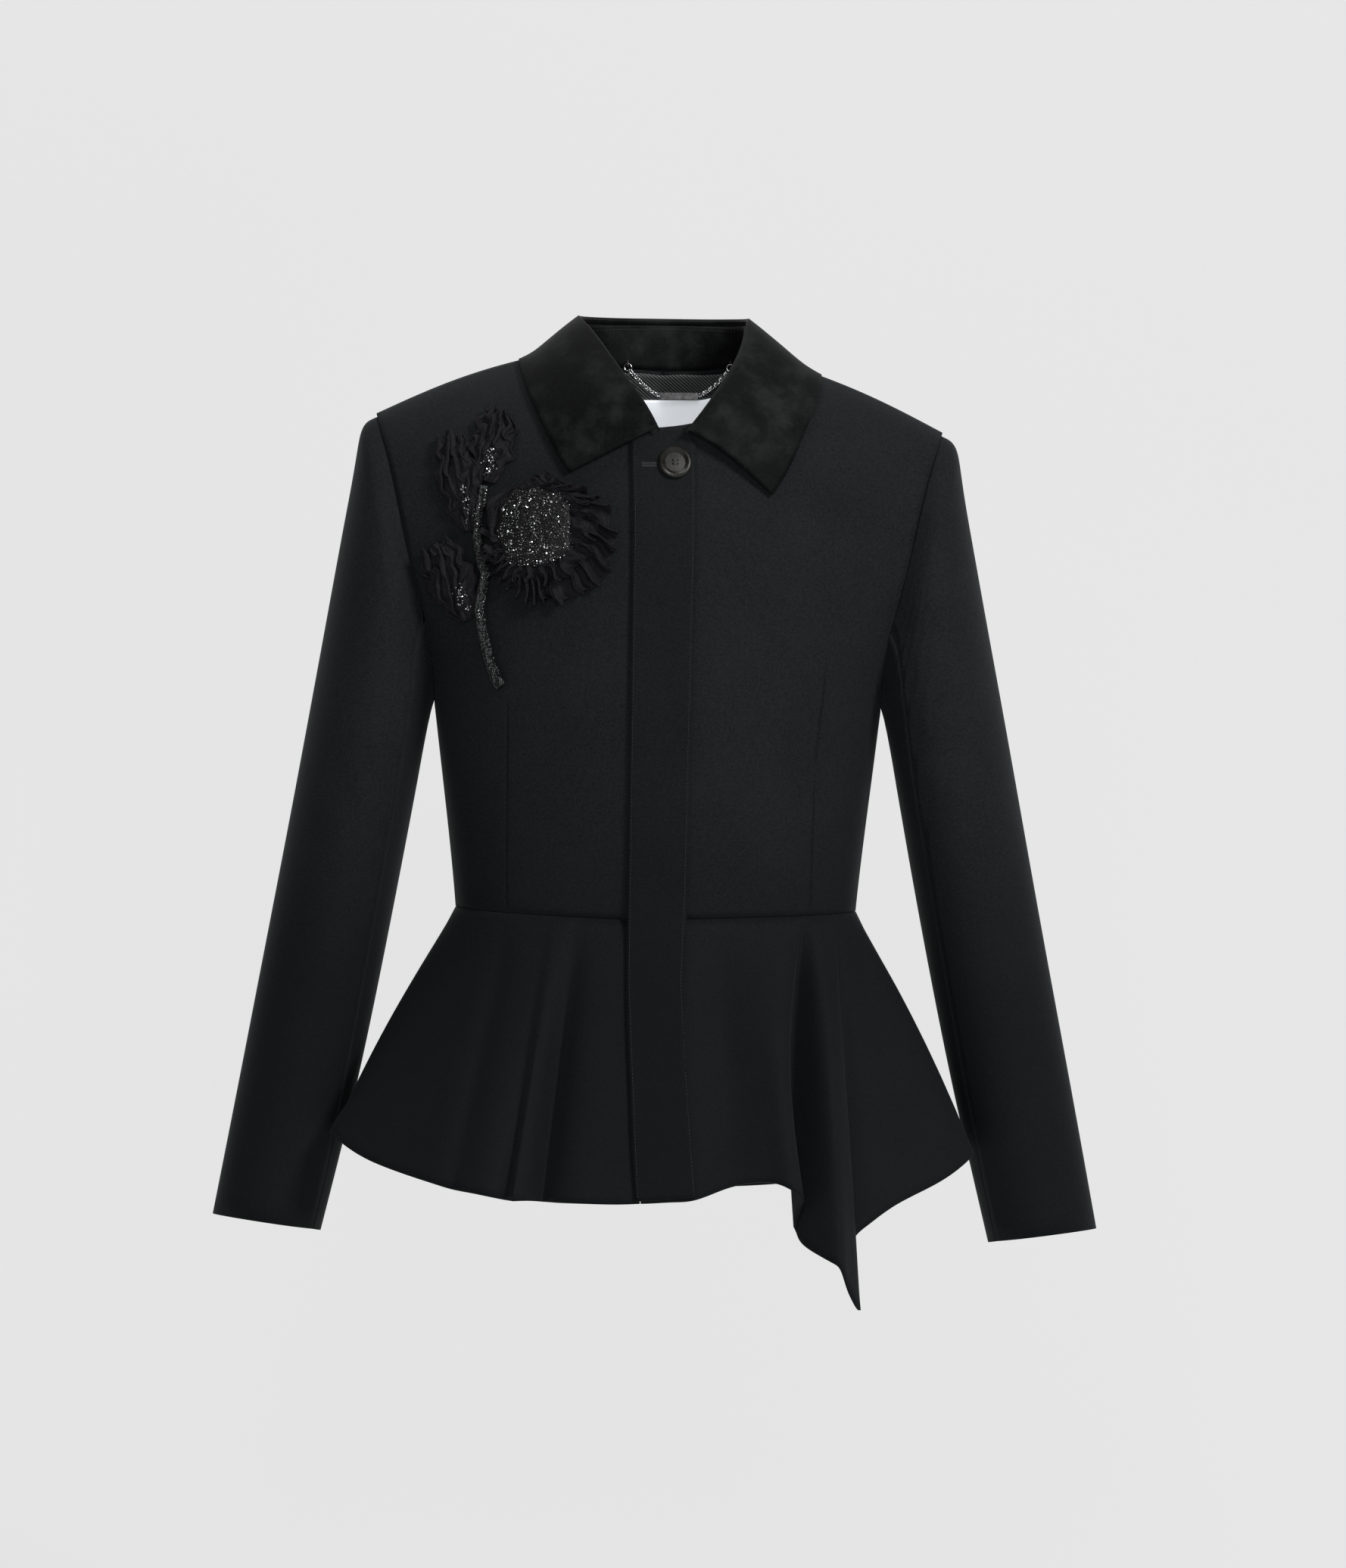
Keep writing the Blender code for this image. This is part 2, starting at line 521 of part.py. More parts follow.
def make_collar(velvet):
    """Velvet fall that rolls over a stand sewn round the neckline."""
    cloth = Cloth("front_left", "front_right", "back_left", "back_right", "front_band")
    table = smooth_table(COLLAR, COLLAR_COLUMNS)
    fall, stand = [], []
    for index, row in enumerate(table):
        roll, edge = np.array(row[:3]), np.array(row[3:6])
        seen = cloth.seen(edge[0], edge[2], VELVET + 0.0024)
        if seen is not None and edge[1] < -0.02:
            edge = seen
        out = edge - roll
        level = np.array([out[0], out[1], 0.0]) / np.linalg.norm(out[:2])
        bow = np.array([level[0] * 0.5, level[1] * 0.5, 1.0]) * row[7]
        line = [roll - level * 0.0026 + np.array([0, 0, -0.0020])]
        for s in FALL_STEPS:
            point = roll + out * s + bow * math.sin(math.pi * s ** 0.75)
            line.append(cloth.clear(point, VELVET + 0.0015) if s > 0.1 else point)
        fall.append(line)
        base = neck_point(min(max(row[6], 0.0), 2.0), math.copysign(1.0, row[0]))
        base += np.array([0, 0, 0.0008])
        top = line[0] + np.array([0, 0, -0.0036]) - level * 0.0004
        middle = (base + top) / 2 - level * 0.0005
        if roll[2] - base[2] > STAND_LEAST_HEIGHT:
            stand.append([base, middle, top])
    shell("collar_fall", fall, VELVET, velvet, outward=-1)
    shell("collar_stand", stand, STAND_THICK, velvet, outward=1)


LINING_DEPTH = 0.070     # the back-neck lining that shows, from the neck seam down
LABEL = (-0.0165, 0.0365, -0.0265, -0.0640)   # left, right, top, bottom


def make_neck(lining, label_cloth):
    """Back-neck lining behind the back panels' inner face, and the plain label on it."""
    cloth = Cloth("back_left", "back_right")
    wall = WOOL + 6 * SEAM
    grid = []
    for share in np.linspace(0.0, 1.0, 8):
        row = []
        for across in np.linspace(-1, 1, 15):
            edge = neck_point(2 - 0.75 * abs(across), math.copysign(1.0, across))
            z = edge[2] - 0.002 - LINING_DEPTH * share
            row.append(cloth.seen(edge[0], z, wall + LINING_THICK, start_y=0.0, facing=1.0))
        grid.append(row)
    shell("neck_lining", grid, LINING_THICK, lining, outward=-1)
    left, right, top, bottom = LABEL
    lift = wall + LINING_THICK + 0.0012
    rows = [[cloth.seen(x, z, lift, start_y=0.0, facing=1.0) for x in np.linspace(left, right, 9)]
            for z in np.linspace(top, bottom, 6)]
    shell("label", rows, LABEL_THICK, label_cloth, outward=-1)


RING_Z = -0.0052
RING_RADIUS = 0.0027
RING_WIRE = 0.0005
RING_X = (-0.0261, 0.0528)
LOOP_RADIUS = 0.0024
LOOP_TO_WALL = (0.0038, 0.0042)   # from the wall to the middle of each thread loop
LOOP_THREAD = 0.0004
CHAIN_RADIUS = 0.0009
PLATE = (0.0125, -0.0262, 0.0294, 0.0056, 0.0012)   # middle x, middle z, length, height, thickness
CHAIN_SAG = 0.0022


def torus(name, place, turn, major, minor, surface, segments=20):
    """Ring of round wire."""
    bpy.ops.mesh.primitive_torus_add(location=place, rotation=turn, major_radius=major, minor_radius=minor,
                                     major_segments=segments, minor_segments=6)
    return adopt(name, surface)


def adopt(name, surface):
    """Name the primitive just added and move it to the jacket's collection."""
    made = bpy.context.object
    made.name = name
    made.data.name = name
    made.data.materials.append(surface)
    made.data.shade_smooth()
    made.data.set_sharp_from_angle(angle=math.radians(40))
    for collection in list(made.users_collection):
        collection.objects.unlink(made)
    JACKET.objects.link(made)
    return made


def tube(name, points, radius, surface):
    """Round tube through the points."""
    curve = bpy.data.curves.new(name, "CURVE")
    curve.dimensions = "3D"
    curve.bevel_depth = radius
    curve.bevel_resolution = 1
    curve.use_fill_caps = True
    spline = curve.splines.new("POLY")
    spline.points.add(len(points) - 1)
    for slot, point in zip(spline.points, points):
        slot.co = (*point, 1.0)
    made = bpy.data.objects.new(name, curve)
    curve.materials.append(surface)
    JACKET.objects.link(made)
    return made


def make_hanger(metal, thread):
    """Chain hanger: a thread loop at each end holds a ring, and two chains carry the plate between the rings."""
    stand = Cloth("collar_stand")
    top_z = RING_Z + RING_RADIUS
    tops = []
    for x, to_wall in zip(RING_X, LOOP_TO_WALL):
        tops.append(stand.seen(x, top_z, to_wall, start_y=0.0, facing=1.0))
        tops[-1][2] = top_z
    span = tops[1] - tops[0]
    turn = math.atan2(span[1], span[0])

    def on_hanger(x, z):
        """Point of the hanger's own upright plane."""
        return tops[0] + span * (x - tops[0][0]) / span[0] + np.array([0, 0, z - top_z])

    plate_x, plate_z, length, height, thick = PLATE
    bpy.ops.mesh.primitive_cube_add(size=1.0, location=on_hanger(plate_x, plate_z), rotation=(0, 0, turn))
    plate = adopt("hanger_plate", metal)
    plate.scale = (length, thick, height)
    bevel = plate.modifiers.new("soft_corners", "BEVEL")
    bpy.context.view_layer.objects.active = plate
    plate.select_set(True)
    bpy.ops.object.transform_apply(location=False, rotation=False, scale=True)
    bevel.width = 0.0004
    bevel.segments = 2
    for side, top in (("right", tops[0]), ("left", tops[1])):
        x = top[0]
        centre = on_hanger(x, RING_Z)
        torus(f"hanger_ring_{side}", centre, (math.pi / 2, 0, turn), RING_RADIUS, RING_WIRE, metal)
        torus(f"ring_loop_{side}", top, (0, math.pi / 2, turn), LOOP_RADIUS, LOOP_THREAD, thread, 16)
        inward = 1.0 if x < 0 else -1.0
        away = RING_RADIUS + RING_WIRE + SEAM
        start_x, start_z = x + inward * away * 0.6, RING_Z - away * 0.8
        end_x = plate_x - inward * (length / 2 + 2.5 * SEAM)
        end_z = plate_z + 0.0008
        chain = []
        for s in np.linspace(0, 1, 9):
            sag = CHAIN_SAG * math.sin(math.pi * s)
            chain.append(on_hanger(start_x + (end_x - start_x) * s, start_z + (end_z - start_z) * s - sag))
        tube(f"hanger_chain_{side}", chain, CHAIN_RADIUS, metal)


BUTTON = (0.0100, -0.0778)
BUTTON_PROFILE = (  # turned profile: radius, height
    (0.0, 0.0024), (0.0074, 0.0022), (0.0084, 0.0030), (0.0098, 0.0040), (0.0112, 0.0036), (0.0120, 0.0024),
    (0.0118, 0.0012), (0.0104, 0.0002), (0.0, 0.0))
BUTTON_HOLE_RADIUS = 0.0010
BUTTON_HOLE_AWAY = 0.0019


def make_button(horn):
    """Round button with a raised rim and four holes, on the band."""
    cloth = Cloth("front_band")
    place = cloth.seen(*BUTTON, 2 * SEAM)
    outwards = Vector(cloth.seen(*BUTTON, 1.0) - cloth.seen(*BUTTON, 0.0))
    mesh = bpy.data.meshes.new("button")
    mesh.from_pydata([(r, 0.0, h) for r, h in BUTTON_PROFILE], [(i, i + 1) for i in range(len(BUTTON_PROFILE) - 1)], [])
    button = bpy.data.objects.new("button", mesh)
    mesh.materials.append(horn)
    JACKET.objects.link(button)
    screw = button.modifiers.new("turned", "SCREW")
    screw.steps = 28
    screw.render_steps = 28
    screw.use_merge_vertices = True
    screw.merge_threshold = 0.00005
    screw.use_normal_flip = False
    button.location = place
    button.rotation_euler = outwards.to_track_quat("Z", "Y").to_euler()
    cutters = bpy.data.collections.new("cutters")
    bpy.context.scene.collection.children.link(cutters)
    for k in range(4):
        angle = math.pi / 4 + k * math.pi / 2
        local = (BUTTON_HOLE_AWAY * math.cos(angle), BUTTON_HOLE_AWAY * math.sin(angle), 0.0015)
        bpy.ops.mesh.primitive_cylinder_add(vertices=10, radius=BUTTON_HOLE_RADIUS, depth=0.008, location=local)
        cutter = bpy.context.object
        for collection in list(cutter.users_collection):
            collection.objects.unlink(cutter)
        cutters.objects.link(cutter)
        cutter.parent = button
        cutter.hide_render = True
        cutter.display_type = "WIRE"
        cut = button.modifiers.new("hole", "BOOLEAN")
        cut.object = cutter
        cut.operation = "DIFFERENCE"
    return button


PAD = (-0.0896, -0.1268, 0.0280, 0.0300)      # bead pad: middle x, z and half sizes
BLOOM = (-0.0787, -0.1367, 0.0455, 0.0435)    # ruffle: middle x, z and half sizes
RUFFLE_WAVES = 17
RUFFLE_COLUMNS = 61
BUDS = (  # tip x, z; base x, z; half width
    ("bud_top", -0.1180, -0.0430, -0.1275, -0.0920, 0.0130),
    ("bud_side", -0.1530, -0.0640, -0.1380, -0.1230, 0.0125),
    ("bud_low", -0.1620, -0.1410, -0.1370, -0.1900, 0.0150),
)
STEM = ((-0.1290, -0.0985), (-0.1315, -0.1150), (-0.1325, -0.1340), (-0.1285, -0.1520), (-0.1265, -0.1640),
        (-0.1280, -0.1780), (-0.1285, -0.1900), (-0.1262, -0.2030), (-0.1220, -0.2190), (-0.1165, -0.2350),
        (-0.1120, -0.2420))
STEM_RADIUS = 0.0024
ON_CLOTH = 0.0007


def ellipse(shape, angle):
    """Point of an ellipse given by its middle and half sizes."""
    x, z, across, up = shape
    return np.array([x + across * math.cos(angle), z + up * math.sin(angle)])


def make_ruffle(name, cloth, reach, low, high, waves, phase, silk):
    """Gathered strip round the bead pad: reach is its share of the way out to the bloom's edge."""
    top, bottom = [], []
    for angle in np.radians(np.linspace(1.0, 359.0, RUFFLE_COLUMNS)):
        start = ellipse((PAD[0], PAD[1], PAD[2] + 0.0012, PAD[3] + 0.0012), angle)
        end = start + (ellipse(BLOOM, angle) - start) * reach
        wave = math.sin(waves * angle + phase)
        upper, lower = [], []
        for s in (0.0, 0.35, 0.7, 1.0):
            x, z = start + (end - start) * (s + 0.05 * s * math.sin(2 * waves * angle + phase))
            height = low + (high - low) * (0.35 + 0.65 * s) * (0.5 + 0.5 * wave * s)
            upper.append(cloth.seen(x, z, height + RUFFLE_THICK))
            lower.append(cloth.seen(x, z, height))
        top.append(upper)
        bottom.append(lower)
    closed(name, np.array(top), np.array(bottom), silk)


def make_flower(silk, beads):
    """Cloth flower sewn on the right front: bead pad, two ruffles, three buds and a stem."""
    cloth = Cloth("front_right")
    rings = (0.06, 0.4, 0.7, 0.9, 1.0)
    top, bottom = [], []
    for angle in np.radians(np.linspace(0.5, 359.5, 31)):
        line = [ellipse((PAD[0], PAD[1], PAD[2] * r, PAD[3] * r), angle) for r in rings]
        top.append([cloth.seen(*p, ON_CLOTH + 0.0010 + 0.0060 * math.sqrt(max(0.0, 1 - r * r)))
                    for p, r in zip(line, rings)])
        bottom.append([cloth.seen(*p, ON_CLOTH) for p in line])
    closed("bloom_pad", np.array(top), np.array(bottom), beads)
    make_ruffle("bloom_outer", cloth, 1.0, ON_CLOTH, 0.0060, RUFFLE_WAVES, 0.0, silk)
    make_ruffle("bloom_inner", cloth, 0.62, 0.0052, 0.0100, RUFFLE_WAVES - 5, 1.3, silk)
    for name, tip_x, tip_z, base_x, base_z, half in BUDS:
        tip, base = np.array([tip_x, tip_z]), np.array([base_x, base_z])
        along = (base - tip) / np.linalg.norm(base - tip)
        side = np.array([-along[1], along[0]])
        top, bottom = [], []
        for s in np.linspace(0.0, 1.0, 17):
            width = half * (0.12 + 0.88 * math.sin(math.pi * s ** 0.8) ** 0.8) * (1 + 0.10 * math.sin(26 * s))
            upper, lower = [], []
            for v in (-1.0, -0.7, -0.35, 0.0, 0.35, 0.7, 1.0):
                x, z = tip + (base - tip) * s + side * v * width
                height = 0.0012 + 0.0055 * (1 - v * v) + 0.0018 * abs(v) * (0.5 + 0.5 * math.sin(22 * s + 4 * v))
                upper.append(cloth.seen(x, z, ON_CLOTH + height))
                lower.append(cloth.seen(x, z, ON_CLOTH))
            top.append(upper)
            bottom.append(lower)
        closed(name, np.array(top), np.array(bottom), silk)
    path = smooth_table(STEM, 25)
    tube("stem", [cloth.seen(x, z, ON_CLOTH + STEM_RADIUS) for x, z in path], STEM_RADIUS, beads)


def main():
    """Build the jacket."""
    clear_scene()
    wool = material("black_wool", (0.012, 0.014, 0.015), 0.85)
    velvet = material("black_velvet", (0.010, 0.010, 0.011), 0.7)
    lining = material("black_lining", (0.015, 0.015, 0.017), 0.35)
    label_cloth = material("white_label", (0.85, 0.87, 0.9), 0.5)
    metal = material("silver", (0.75, 0.75, 0.76), 0.2, 1.0)
    thread = material("black_thread", (0.02, 0.02, 0.02), 0.8)
    horn = material("dark_horn", (0.03, 0.028, 0.02), 0.25)
    silk = material("black_ruched_cloth", (0.014, 0.014, 0.015), 0.7)
    beads = material("black_beading", (0.02, 0.02, 0.02), 0.3)
    make_bodice(wool)
    make_sleeves(wool)
    make_peplum(wool)
    make_band(wool)
    make_collar(velvet)
    make_neck(lining, label_cloth)
    make_hanger(metal, thread)
    make_button(horn)
    make_flower(silk, beads)


main()
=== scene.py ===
"""Black wool peplum jacket with a velvet collar and a beaded cloth flower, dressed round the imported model."""
from __future__ import annotations

import logging
import math
from contextlib import contextmanager
from dataclasses import dataclass, field
from enum import Enum
from typing import Any, Callable, Iterator, Sequence

import bmesh
import bpy
import numpy as np
from mathutils import Matrix, Vector
from mathutils.bvhtree import BVHTree


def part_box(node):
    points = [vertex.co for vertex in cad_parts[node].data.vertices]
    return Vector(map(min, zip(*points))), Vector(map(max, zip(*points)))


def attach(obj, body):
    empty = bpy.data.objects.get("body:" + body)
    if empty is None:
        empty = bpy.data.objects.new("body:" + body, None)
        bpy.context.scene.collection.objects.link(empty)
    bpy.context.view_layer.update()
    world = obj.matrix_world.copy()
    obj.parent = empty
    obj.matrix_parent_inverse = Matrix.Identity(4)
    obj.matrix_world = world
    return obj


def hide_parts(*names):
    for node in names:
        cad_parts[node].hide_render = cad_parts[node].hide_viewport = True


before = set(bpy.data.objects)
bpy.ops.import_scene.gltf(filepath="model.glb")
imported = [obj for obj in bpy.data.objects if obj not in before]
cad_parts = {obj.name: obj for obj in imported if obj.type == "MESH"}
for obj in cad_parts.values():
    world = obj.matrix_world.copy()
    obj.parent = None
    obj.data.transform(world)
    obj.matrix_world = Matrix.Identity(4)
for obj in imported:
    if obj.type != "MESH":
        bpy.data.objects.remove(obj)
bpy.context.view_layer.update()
log = logging.getLogger("peplum_jacket")

Point = tuple[float, float, float]
Spot = tuple[float, float]      # a place in the front view: frame x and z
PHOTO_SIZE = (1778, 2072)
PHOTO_SCALE = 1800.0            # photograph pixels to a metre at the jacket
PHOTO_ORIGIN = (868.0, 475.0)   # pixel of the frame's origin
BACKDROP_GLOW = 0.645           # the paper lights itself, so that it stays as even as the photograph's
JACKET = "jacket"
HANGER = "hanger"
WELD = 1e-6                     # points closer than this are one
TINY = 1e-9


def operator(operation: str, swapped: bool = False) -> Callable[[Any, Any], Any]:
    """Arithmetic method that adds a Math node.

    Args:
        operation: The node's operation.
        swapped: Whether the other value comes first.

    Returns:
        The method.
    """

    def method(self: "Socket", other: Any) -> "Socket":
        """Add the node."""
        first, second = (other, self) if swapped else (self, other)
        return self.shader.node("ShaderNodeMath", {"operation": operation}, {0: first, 1: second})

    return method


class Socket:
    """One shader output that takes part in arithmetic."""

    def __init__(self, shader: "Shader", output: Any) -> None:
        """Keep the output and the shader that owns it."""
        self.shader = shader
        self.output = output

    __add__ = operator("ADD")
    __sub__ = operator("SUBTRACT")
    __rsub__ = operator("SUBTRACT", swapped=True)
    __mul__ = operator("MULTIPLY")

    def wave(self) -> "Socket":
        """Sine of the value."""
        return self.shader.node("ShaderNodeMath", {"operation": "SINE"}, {0: self})

    def size(self) -> "Socket":
        """Absolute value."""
        return self.shader.node("ShaderNodeMath", {"operation": "ABSOLUTE"}, {0: self})

    def step(self, low: float, high: float) -> "Socket":
        """Smooth 0 to 1 between two values."""
        return self.shader.node("ShaderNodeMapRange", {"interpolation_type": "SMOOTHSTEP", "clamp": True},
                                {0: self, 1: low, 2: high, 3: 0.0, 4: 1.0})


class NodeTree:
    """A node tree with one method that adds any node."""

    tree: Any

    def add(self, kind: str, settings: dict[str, Any] | None = None,
            inputs: dict[Any, Any] | None = None) -> Any:
        """Add a node.

        Args:
            kind: Node type.
            settings: Properties, set first.
            inputs: Values or outputs by socket name or number.

        Returns:
            The node.
        """
        made = self.tree.nodes.new(kind)
        for key, value in (settings or {}).items():
            setattr(made, key, value)
        for key, value in (inputs or {}).items():
            self.feed(made.inputs[key], value)
        return made

    def feed(self, target: Any, value: Any) -> None:
        """Link or set one input."""
        source = value.output if isinstance(value, Socket) else value
        if isinstance(source, bpy.types.NodeSocket):
            self.tree.links.new(source, target)
        else:
            target.default_value = value


class Shader(NodeTree):
    """A material built from its Principled node."""

    def __init__(self, name: str) -> None:
        """Start a material with its Principled node."""
        self.material = bpy.data.materials.new(name)
        self.material.use_nodes = True
        self.tree = self.material.node_tree
        self.surface = self.tree.nodes["Principled BSDF"]

    def node(self, kind: str, settings: dict[str, Any] | None = None, inputs: dict[Any, Any] | None = None,
             output: int | str = 0) -> Socket:
        """Add a node and return one of its outputs."""
        return Socket(self, self.add(kind, settings, inputs).outputs[output])

    def blend(self, factor: Any, low: Point, high: Point) -> Socket:
        """Colour ramp from one colour to another."""
        made = self.add("ShaderNodeValToRGB", None, {0: factor})
        for element, place, colour in zip(made.color_ramp.elements, (0.0, 1.0), (low, high)):
            element.position = place
            element.color = (*colour, 1.0)
        return Socket(self, made.outputs[0])

    def set(self, **values: Any) -> None:
        """Set or link the Principled node's inputs; underscores stand for spaces."""
        for key, value in values.items():
            self.feed(self.surface.inputs[key.replace("_", " ")], value)

    def place(self) -> tuple[Socket, Socket, Socket]:
        """Object coordinates as three numbers."""
        coordinates = self.node("ShaderNodeTexCoord", output="Object")
        split = self.add("ShaderNodeSeparateXYZ", None, {0: coordinates})
        return tuple(Socket(self, split.outputs[k]) for k in range(3))

    def noise(self, scale: float, detail: float = 3.0, roughness: float = 0.55) -> Socket:
        """Noise on Object coordinates."""
        coordinates = self.node("ShaderNodeTexCoord", output="Object")
        return self.node("ShaderNodeTexNoise", None,
                         {"Vector": coordinates, "Scale": scale, "Detail": detail, "Roughness": roughness})

    def bump(self, height: Socket, distance: float, strength: float) -> Socket:
        """Normal from a height that stands for the distance in metres."""
        return self.node("ShaderNodeBump", None,
                         {"Height": height, "Distance": distance, "Strength": strength})


Line = tuple[Spot, Spot]


@dataclass(frozen=True)
class WoolFinish:
    """Matt black wool with a fine twill, soft wear, pressed seam or dart lines with painted shade in them, and
    painted shade that darkens it downwards.
    """

    name: str
    lines: tuple[Line, ...] = ()
    colour: Point = (0.0026, 0.0034, 0.0040)
    worn: Point = (0.0122, 0.0138, 0.0146)
    twill: float = 2600.0
    fuzz_scale: float = 900.0
    nap_scale: float = 160.0
    fleck_scale: float = 620.0
    cloud_scale: float = 14.0
    cloud: float = 0.16           # strength of the soft, large patches
    line_width: float = 0.0016
    groove_depth: float = 9.0
    # how much painted shade darkens the cloth in a groove
    groove_painted_shade: float = 0.8
    skirt_shade: tuple[float, float] = (-0.48, -0.30)   # heights between which painted shade darkens the cloth downwards
    # share of the cloth's tone that the painted shade leaves at the bottom
    skirt_painted_shade_floor: float = 0.33

    def material(self) -> Any:
        """Build the cloth, with a pressed groove along each line given as two (x, z) ends, darkened in it by
        painted shade.
        """
        shader = Shader(self.name)
        x, y, z = shader.place()
        weave = ((x + z + y * 0.6) * self.twill).wave() * 0.5
        weave = weave + ((x - z + y * 0.3) * self.twill * 0.8).wave() * 0.25
        fuzz = shader.noise(self.fuzz_scale, 4.0)
        cloudy = shader.noise(self.cloud_scale, 4.0)
        height = weave * 0.35 + fuzz * 1.2 + shader.noise(self.nap_scale, 3.0) * 1.5
        groove: Socket | None = None
        for (x0, z0), (x1, z1) in self.lines:
            slope = (x1 - x0) / (z1 - z0)
            away = (x - (z - z0) * slope - x0).size()
            low, high = min(z0, z1), max(z0, z1)
            inside = z.step(low - 0.002, low + 0.006) * (1 - z.step(high - 0.03, high))
            dent = (1 - away.step(0.0, self.line_width)) * inside
            groove = dent if groove is None else groove + dent
        tone = cloudy.step(0.36, 0.70) * self.cloud + fuzz * 0.4 + (0.6 - self.cloud) * 0.5
        if groove is not None:
            height = height - groove * self.groove_depth
            # painted shade in the groove, besides its real dent in the bump
            tone = tone * (1 - groove * self.groove_painted_shade)
        tone = tone + (shader.noise(self.fleck_scale, 2.0, 0.6) - 0.5) * 1.5
        # painted shade: the cloth grows darker downwards, over the waist and the peplum
        tone = tone * (z.step(*self.skirt_shade) * (1 - self.skirt_painted_shade_floor) + self.skirt_painted_shade_floor)
        shader.set(Base_Color=shader.blend(tone, self.colour, self.worn), Roughness=fuzz * 0.16 + 0.72,
                   Specular_IOR_Level=0.10, Sheen_Weight=0.06, Sheen_Roughness=0.45,
                   Sheen_Tint=(0.30, 0.34, 0.36, 1.0), Normal=shader.bump(height, 0.00012, 0.8))
        return shader.material


@dataclass(frozen=True)
class VelvetFinish:
    """Black velvet: dark face, soft light at grazing angles, brushed patches in the pile."""

    name: str = "black_velvet"
    colour: Point = (0.0016, 0.0019, 0.0019)
    brushed: Point = (0.0165, 0.0174, 0.0174)
    patch_scale: float = 26.0
    pile_scale: float = 2400.0
    fleck_scale: float = 500.0
    tuft_scale: float = 120.0

    def material(self) -> Any:
        """Build the pile."""
        shader = Shader(self.name)
        patches = shader.noise(self.patch_scale, 5.0, 0.6)
        pile = shader.noise(self.pile_scale, 2.0)
        tone = patches.step(0.44, 0.74) * 0.85 + (shader.noise(self.fleck_scale, 2.0) - 0.4) * 0.5
        shader.set(Base_Color=shader.blend(tone, self.colour, self.brushed),
                   Roughness=tone * 0.15 + 0.62, Specular_IOR_Level=0.06, Sheen_Weight=0.055,
                   Sheen_Roughness=0.35, Sheen_Tint=(0.42, 0.42, 0.45, 1.0),
                   Normal=shader.bump(pile + shader.noise(self.tuft_scale, 3.0) * 1.6, 0.0002, 0.7))
        return shader.material


@dataclass(frozen=True)
class LiningFinish:
    """Dark satin lining with a woven diagonal stripe."""

    name: str = "twill_lining"
    colour: Point = (0.0030, 0.0032, 0.0035)
    stripe: Point = (0.1650, 0.1740, 0.1720)
    pitch: float = 0.0018
    thread_pitch: float = 0.0005

    def material(self) -> Any:
        """Build the stripes from Object coordinates."""
        shader = Shader(self.name)
        x, _, z = shader.place()
        across = x * 0.643 + z * 0.766
        ribs = (across * (math.tau / self.pitch)).wave()
        fine = ((x * 0.766 - z * 0.643) * (math.tau / self.thread_pitch)).wave()
        tone = ribs.step(0.0, 0.9) * (fine * 0.25 + 0.75) * (shader.noise(90.0, 3.0) * 0.9 + 0.4)
        shader.set(Base_Color=shader.blend(tone, self.colour, self.stripe),
                   Roughness=0.48 - tone * 0.14, Normal=shader.bump(ribs * 0.7 + fine * 0.3, 0.00015, 0.8))
        return shader.material


@dataclass(frozen=True)
class PlainFinish:
    """A single stuff with fine variation: label satin, thread, horn, metal, glass beads."""

    name: str
    colour: Point
    second: Point
    roughness: float
    grain: float
    metallic: float = 0.0
    bump: float = 0.00005
    coat: float = 0.0
    specular: float = 0.5
    # emission strength: painted light on a part that is no lamp
    painted_glow: float = 0.0

    def material(self) -> Any:
        """Build the stuff."""
        shader = Shader(self.name)
        shader.set(Emission_Color=(*self.second, 1.0), Emission_Strength=self.painted_glow)
        grain = shader.noise(self.grain, 4.0)
        shader.set(Base_Color=shader.blend(grain.step(0.35, 0.7), self.colour, self.second),
                   Roughness=grain * 0.12 + (self.roughness - 0.06), Metallic=self.metallic,
                   Specular_IOR_Level=self.specular, Coat_Weight=self.coat, Coat_Roughness=0.08,
                   Normal=shader.bump(grain, self.bump, 0.6))
        return shader.material


class Bead(Enum):
    """The kinds of bead sewn on the flower."""

    JET = "jet_beads"
    CLEAR = "crystal_beads"
    BUGLE = "bugle_beads"


FINISHES = {
    # the label shines by its own emission: painted light that keeps it bright inside the shaded back neck
    "label": PlainFinish("white_satin", (0.84, 0.88, 0.93), (0.90, 0.94, 0.98), 0.5, 900.0, bump=0.00003,
                         painted_glow=0.42),
    "thread": PlainFinish("black_thread", (0.012, 0.012, 0.013), (0.034, 0.034, 0.036), 0.7, 2500.0),
    "horn": PlainFinish("dark_horn", (0.0030, 0.0030, 0.0024), (0.012, 0.011, 0.008), 0.36, 160.0, coat=0.06,
                        specular=0.28),
    "silver": PlainFinish("silver_metal", (0.62, 0.62, 0.64), (0.82, 0.82, 0.83), 0.2, 700.0, metallic=1.0),
    "plate": PlainFinish("blackened_plate", (0.16, 0.16, 0.165), (0.26, 0.26, 0.265), 0.30, 500.0,
                         metallic=1.0),
    "ruched": PlainFinish("ruched_cloth", (0.0026, 0.0023, 0.0032), (0.0150, 0.0134, 0.0172), 0.72, 1400.0,
                          bump=0.0001, specular=0.12),
    "ground": PlainFinish("bead_ground", (0.0025, 0.0025, 0.003), (0.006, 0.006, 0.007), 0.6, 1200.0,
                          specular=0.2),
    Bead.JET: PlainFinish("jet_glass", (0.002, 0.002, 0.0025), (0.006, 0.006, 0.007), 0.10, 60.0, coat=0.2,
                          specular=0.3),
    Bead.CLEAR: PlainFinish("crystal_glass", (0.44, 0.45, 0.46), (0.88, 0.89, 0.90), 0.12, 300.0,
                            metallic=1.0),
    Bead.BUGLE: PlainFinish("bugle_glass", (0.004, 0.005, 0.005), (0.016, 0.019, 0.019), 0.2, 400.0,
                            coat=0.3),
}


